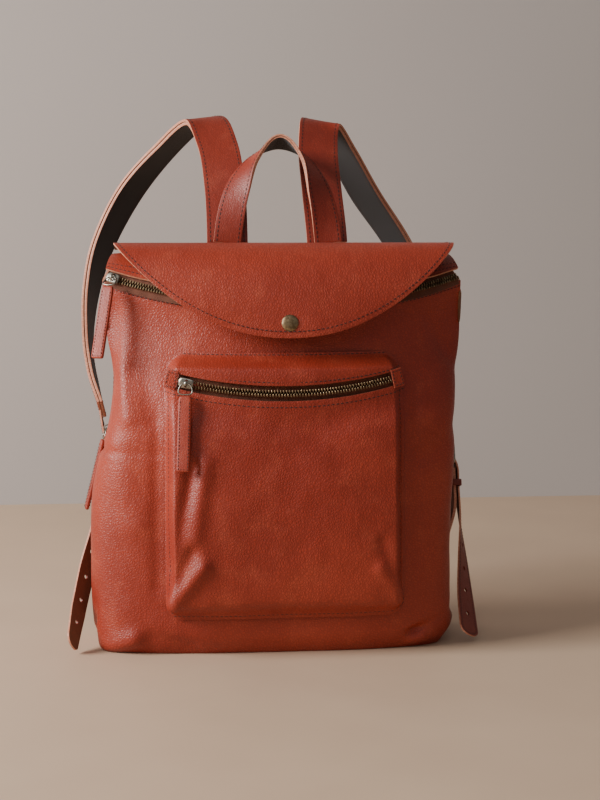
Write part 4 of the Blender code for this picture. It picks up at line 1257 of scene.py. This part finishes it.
handle = {"width": 0.0250, "start": 5 / 40, "stop": 35 / 40, "low": 0.0002, "high": 0.0020}
handleBend = ("handle", (0, 0, 0.346), (0, 0, 0.372))
piece = ribbonPiece("handleLeather", handleLine, handle["start"], handle["stop"], handle["width"],
    handle["low"],
                    handle["high"], 14, 120)
dressed(piece, [strapLeather, paleEdge, suede], "bag", ("handle",), handleBend)
piece = ribbonPiece("handleLining", handleLine, handle["start"], handle["stop"], 0.0236, -0.0014, 0.0001,
    12, 120)
dressed(piece, [blackCloth, paleEdge, blackCloth], "bag", ("handle_lining",), handleBend)
rows = [ribbonRoute(handleLine, handle["start"], handle["stop"], s * 0.0096, 0.00205) for s in (-1, 1)]
dressed(stitchRows("handleStitches", rows), [darkThread], "bag", (), handleBend)


def strapWidth(t):
    return mix(0.0370, 0.0240, smooth((t - 0.82) / 0.18))


strapBends = {"left": ((0, 0.062, 0), (0, 0.115, 0)), "right": ((0, 0.062, 0), (0, 0.115, 0))}
for name, line in (("left", leftLine), ("right", rightLine)):
    bend = (f"{name}_strap", *strapBends[name])
    start = 4 / 44
    piece = ribbonPiece(f"{name}Strap", line, start, 1, strapWidth, 0.0002, 0.0025, 22, 170)
    dressed(piece, [strapLeather, paleEdge, suede], "bag", (f"{name}_strap",), bend)
    piece = ribbonPiece(f"{name}StrapLining", line, start, 1, lambda t: strapWidth(t) - 0.0016, -0.0030,
        0.0001, 18, 170,
                        cut=0.0008)
    dressed(piece, [blackCloth, paleEdge, blackCloth], "bag", (f"{name}_strap_lining",), bend)
    rows = [ribbonRoute(line, start, 0.995, lambda t, s=s: s * (strapWidth(t) / 2 - 0.0032), 0.00255,
        320) for s in (-1, 1)]
    rows += [ribbonRoute(line, start, 0.995, lambda t, s=s: s * (strapWidth(t) / 2 - 0.0036), -0.00305,
        320) for s in (-1, 1)]
    dressed(stitchRows(f"{name}StrapStitches", rows), [darkThread], "bag", (), bend)
print("handle and straps")

# ---- the patch on the back that covers the sewn ends

patch = {"half": 0.072, "low": 0.2975, "high": 0.3470, "lift": 0.0072, "thickness": 0.0034}


def patchPlace(u, v):
    x = patch["half"] * (1 - 2 * u)
    z = mix(patch["low"], patch["high"], v)
    across, up = abs(1 - 2 * u), abs(2 * v - 1)
    soft = 0.0012 * (across**16 + up**16 * 0.6)
    return Vector((x, backY(z) + patch["lift"] - soft, z))


anchor = gridSheet("anchorPatch", 60, 24, patchPlace)
thickened(anchor, patch["thickness"], soft=0.0004)
dressed(anchor, [leather, redEdge, suede], "bag", ("anchor_patch",))
border = [(0.03, 0.07), (0.97, 0.07), (0.97, 0.93), (0.03, 0.93), (0.03, 0.07)]
spots = []
for (a, b), (c, d) in zip(border, border[1:]):
    spots += [(mix(a, c, k / 40), mix(b, d, k / 40)) for k in range(40)]
boxes = [routeOn(patchPlace, spots)]
for centre in (0.18, 0.82):
    cross = [(centre - 0.11, 0.2), (centre + 0.11, 0.2), (centre + 0.11, 0.8), (centre - 0.11, 0.8),
        (centre - 0.11, 0.2),
             (centre + 0.11, 0.8)]
    spots = []
    for (a, b), (c, d) in zip(cross, cross[1:]):
        spots += [(mix(a, c, k / 16), mix(b, d, k / 16)) for k in range(16)]
    boxes.append(routeOn(patchPlace, spots))
dressed(stitchRows("patchStitches", boxes), [darkThread], "bag")

# ---- belts, buckles and free tails

belt = {"width": 0.0210, "thick": 0.0016, "holePitch": 0.023, "holeRadius": 0.0021}
tailLines = {
    "left": Ribbon(((-0.1652, 0.0455, 0.1265), (-0.1668, 0.0350, 0.0980), (-0.1750, 0.0150, 0.0615),
                    (-0.1820, -0.0140, 0.0315), (-0.1865, -0.0440, 0.0085)),
                   ((-1, -0.1, 0), (-0.9, 0.35, 0.1), (-0.65, 0.75, 0.2), (-0.5, 0.85, 0.3),
                       (-0.4, 0.85, 0.4))),
    "right": Ribbon(((0.1652, 0.0455, 0.1265), (0.1668, 0.0360, 0.0980), (0.1664, 0.0180, 0.0635),
                     (0.1640, -0.0080, 0.0345), (0.1620, -0.0380, 0.0085)),
                    ((1, 0, 0), (1, -0.15, 0.05), (0.85, -0.5, 0.2), (0.65, -0.75, 0.35),
                        (0.55, -0.75, 0.45))),
}


def punched(piece, line, start, stop, width):
    # takes a row of round holes out of a flat strip
    length = line.length()
    count = int(length / belt["holePitch"])
    for k in range(count):
        t = start + (k + 0.35) * belt["holePitch"] / length * (stop - start)
        if t > stop - 0.08:
            break
        here, along, out, side = line.station(t)
        unselect()
        bpy.ops.mesh.primitive_cylinder_add(vertices=20, radius=belt["holeRadius"], depth=0.012)
        drill = bpy.context.object
        drill.matrix_world = frameAt(here, out, along)
        applied(piece, "BOOLEAN", operation="DIFFERENCE", object=drill)
        bpy.data.objects.remove(drill)
    return piece


for side, name in ((-1, "left"), (1, "right")):
    s = side
    line = Ribbon(((s * 0.1612, 0.0800, 0.1925), (s * 0.1598, 0.0690, 0.1810), (s * 0.1590, 0.0600, 0.1695),
                   (s * 0.1612, 0.0545, 0.1565), (s * 0.1652, 0.0500, 0.1445), (s * 0.1652, 0.0465,
                       0.1315)),
                  ((s, 0.2, 0), (s, 0.1, 0), (s, 0, 0.1), (0.95 * s, 0, 0.25), (s, 0, 0.1), (s, 0, 0)))
    piece = ribbonPiece(f"{name}Belt", line, 0, 1, belt["width"], -0.0008, 0.0008, 12, 50)
    unselect()
    slope, buckleAcross = Vector((0, 0.42, 1)).normalized(), Vector((0, 1, -0.42)).normalized()
    third = buckleAcross.cross(slope)
    place = Matrix((buckleAcross, slope, third)).transposed().to_4x4()
    place.translation = Vector((s * 0.1617, 0.0553, 0.1565))
    bpy.ops.mesh.primitive_cube_add(size=1)
    drill = bpy.context.object
    drill.matrix_world = place @ Matrix.Translation((0, -0.0060, 0)) @ Matrix.Diagonal((0.0032, 0.0150,
        0.016, 1))
    applied(piece, "BOOLEAN", operation="DIFFERENCE", object=drill)
    bpy.data.objects.remove(drill)
    dressed(piece, [beltLeather, paleEdge, suede], "bag", (f"{name}_belt",))
    rows = [ribbonRoute(line, 0, 0.97, w * (belt["width"] / 2 - 0.0024), 0.00085, 60) for w in (-1, 1)]
    dressed(stitchRows(f"{name}BeltStitches", rows, length=0.0022, pitch=0.003), [darkThread],
        "bag")

    tail = tailLines[name]
    tailLength = tail.length()
    tip = 0.0105 / tailLength

    def tailWidth(t):
        past = max(t - (1 - tip), 0) / tip
        return belt["width"] * math.sqrt(max(1 - past**2, 0.03))

    piece = gridSheet(f"{name}BeltTail", 12, 110,
                      lambda u, v: tail.point(1 - (1 - v) ** 1.25,
                          (u - 0.5) * tailWidth(1 - (1 - v) ** 1.25), 0.0008))
    thickened(piece, belt["thick"], soft=0.0003)
    punched(piece, tail, 0.06, 1, belt["width"])
    tailBend = (f"{name}_tail", (s * 0.1652, 0.0455, 0.128), (s * 0.1668, 0.0350, 0.108))
    dressed(piece, [beltLeather, paleEdge, suede], "bag", (f"{name}_belt_tail",), tailBend)
    loop = ribbonRoute(tail, 0.0, 1 - tip, belt["width"] / 2 - 0.0024, 0.00085, 120)
    for k in range(1, 16):
        turn = math.pi * k / 16
        reach = belt["width"] / 2 - 0.0024
        t = 1 - tip + reach * math.sin(turn) / tailLength
        loop.append((tail.point(t, reach * math.cos(turn), 0.00085), tail.station(t)[2]))
    loop += list(reversed(ribbonRoute(tail, 0.0, 1 - tip, -(belt["width"] / 2 - 0.0024), 0.00085, 120)))
    dressed(stitchRows(f"{name}TailStitches", [loop], length=0.0022, pitch=0.003), [darkThread],
        "bag", (), tailBend)

    # buckle frame and prong
    centres = []
    for k in range(48):
        wide, tall = rounded(2 * math.pi * k / 48, 0.45)
        centres.append(place @ Vector((0.0138 * wide, 0.0115 * tall, 0)))
    normal = (place.to_3x3() @ Vector((0, 0, 1))).normalized()
    buckle = wirePiece(f"{name}Buckle", centres, normal, 0.0011, 12)
    dressed(buckle, [nickel], "bag", (f"{name}_buckle",))

    outward = normal if normal.x * s > 0 else -normal

    def prongAt(u, v):
        turn = 2 * math.pi * u
        y = mix(-0.0120, 0.0128, v)
        thin = 0.62 if v in (0, 1) else 1
        middle = place @ Vector((0, y, 0)) + outward * 0.00185
        return middle + place.to_3x3() @ Vector((0.0010 * thin * math.cos(turn), 0,
            0)) + outward * 0.00045 * thin * math.sin(turn)

    prong = gridSheet(f"{name}Prong", 12, 12, prongAt)
    edited(prong, mergeDoubles)
    edited(prong, lambda: bpy.ops.mesh.fill_holes(sides=0), facesOut)
    dressed(prong, [nickel], "bag", (f"{name}_prong",))

    # chape, with a rivet, and keeper
    wall = [(0.034, 0.073), (0.030, 0.035), (0.028, 0.015)]
    chapePoints = [(s * 0.1617, 0.0501, 0.1437), (s * 0.1617, 0.0465, 0.1315), (s * 0.1608, 0.0400, 0.1070)]
    for y, z in wall:
        share = (y - bag["seamY"] - 0.002) / (backY(z) - bag["leather"] - bag["seamY"] - 0.004)
        chapePoints.append((gussetX(z, share, s) + s * 0.0034, y, z))
    chape = Ribbon(chapePoints, ((s, 0, 0),) * len(chapePoints))
    piece = ribbonPiece(f"{name}Chape", chape, 0, 1, 0.0185, -0.0013, 0.0013, 10, 60)
    dressed(piece, [beltLeather, paleEdge, suede], "bag", (f"{name}_chape",))
    rows = [ribbonRoute(chape, 0.15, 0.985, w * 0.0070, 0.00135, 120) for w in (-1, 1)]
    rows.append([(chape.point(0.985, mix(-0.007, 0.007, k / 10), 0.00135),
        chape.station(0.985)[2]) for k in range(11)])
    dressed(stitchRows(f"{name}ChapeStitches", rows, length=0.0022, pitch=0.003), [darkThread],
        "bag")
    here, along, out, _ = chape.station(0.86)
    rivet = turnedPiece(f"{name}Rivet", [(0, 0.0012), (0.0016, 0.0011), (0.0030, 0.0007), (0.0036, 0.0001),
        (0.0030, -0.0004), (0, -0.0004)],
                        frameAt(here + out * 0.0013, out, along), 24)
    dressed(rivet, [brass], "bag")

    tilt = Matrix.Translation((s * 0.16315, 0.0463, 0.1307)) @ Matrix.Rotation(math.radians(-15), 4, "X")

    def keeperAt(u, v):
        wide, tall = rounded(2 * math.pi * u, 0.35)
        around = ((0.0052, 0.0132, 0.0028), (0.0052, 0.0132, -0.0028), (0.0040, 0.0120, -0.0030),
            (0.0040, 0.0120, 0.0030))
        x, y, z = around[round(v * 4) % 4]
        return tilt @ Vector((x * wide, y * tall, z))

    keeper = gridSheet(f"{name}Keeper", 40, 4, keeperAt)
    edited(keeper, mergeDoubles, facesOut)
    applied(keeper, "BEVEL", width=0.0004, segments=2, limit_method="ANGLE", angle_limit=math.radians(50))
    dressed(keeper, [beltLeather], "bag", (f"{name}_keeper",))
print("belts and buckles")

# ---- what keeps its CAD shape gets a finish

for nodeName, finish in {"snap_socket": brass, "snap_stud": brass, "snap_washer": brass,
        "base_board": board}.items():
    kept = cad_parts[nodeName]
    kept.data.materials.clear()
    kept.data.materials.append(finish)

# ---- floor, light and camera

room = {
    "keyAt": (-2.0, -0.62, 1.15), "keySize": 1.0, "keyPower": 92,
    "fillAt": (-0.6, -2.3, 1.9), "fillPower": 6,
}

floor = Finish("paleFloor")
spot = floor.place()
grain = floor.noise(spot, 9.0, 5.0)
floorFinish = floor.surface(colour=floor.blend(grain, (0.52, 0.37, 0.26), (0.60, 0.44, 0.31)),
    rough=0.60 + grain * 0.1)
unselect()
bpy.ops.mesh.primitive_plane_add(size=6, location=(0, 0, 0))
ground = bpy.context.object
ground.name = "floor"
ground.data.materials.append(floorFinish)
backdropFinish = Finish("paleWall")
tint = backdropFinish.noise(backdropFinish.place(), 1.2, 2.0)
wallFinish = backdropFinish.oneSided(backdropFinish.blend(tint, (0.40, 0.36, 0.34), (0.47, 0.43, 0.41)),
    0.85)
bpy.ops.mesh.primitive_plane_add(size=6, location=(0, 0.75, 2.0), rotation=(math.pi / 2, 0, 0))
backdrop = bpy.context.object
backdrop.name = "backdrop"
backdrop.data.materials.append(wallFinish)


def lampAt(name, location, target, size, power, colour):
    unselect()
    bpy.ops.object.light_add(type="AREA", location=location)
    lamp = bpy.context.object
    lamp.name = name
    lamp.data.size = size
    lamp.data.energy = power
    lamp.data.color = colour
    lamp.rotation_euler = (Vector(target) - Vector(location)).to_track_quat("-Z", "Y").to_euler()


lampAt("keyLight", room["keyAt"], (0, 0, 0.2), room["keySize"], room["keyPower"], (1.0, 0.97, 0.93))
lampAt("fillLight", room["fillAt"], (0, 0, 0.2), 1.2, room["fillPower"], (1.0, 0.95, 0.90))
world = bpy.data.worlds.new("room")
bpy.context.scene.world = world
world.use_nodes = True
world.node_tree.nodes["Background"].inputs["Color"].default_value = (0.95, 0.93, 0.92, 1)
world.node_tree.nodes["Background"].inputs["Strength"].default_value = 0.22

unselect()
bpy.ops.object.camera_add(location=(-0.12768, -1.45943, 0.3688),
                          rotation=(math.radians(90 - 5.996), 0, math.radians(-5.585)))
camera = bpy.context.object
camera.data.lens = 74.97
camera.data.sensor_fit = "VERTICAL"
camera.data.sensor_height = 36
camera.data.sensor_width = 36
bpy.context.scene.camera = camera
print("room and camera")
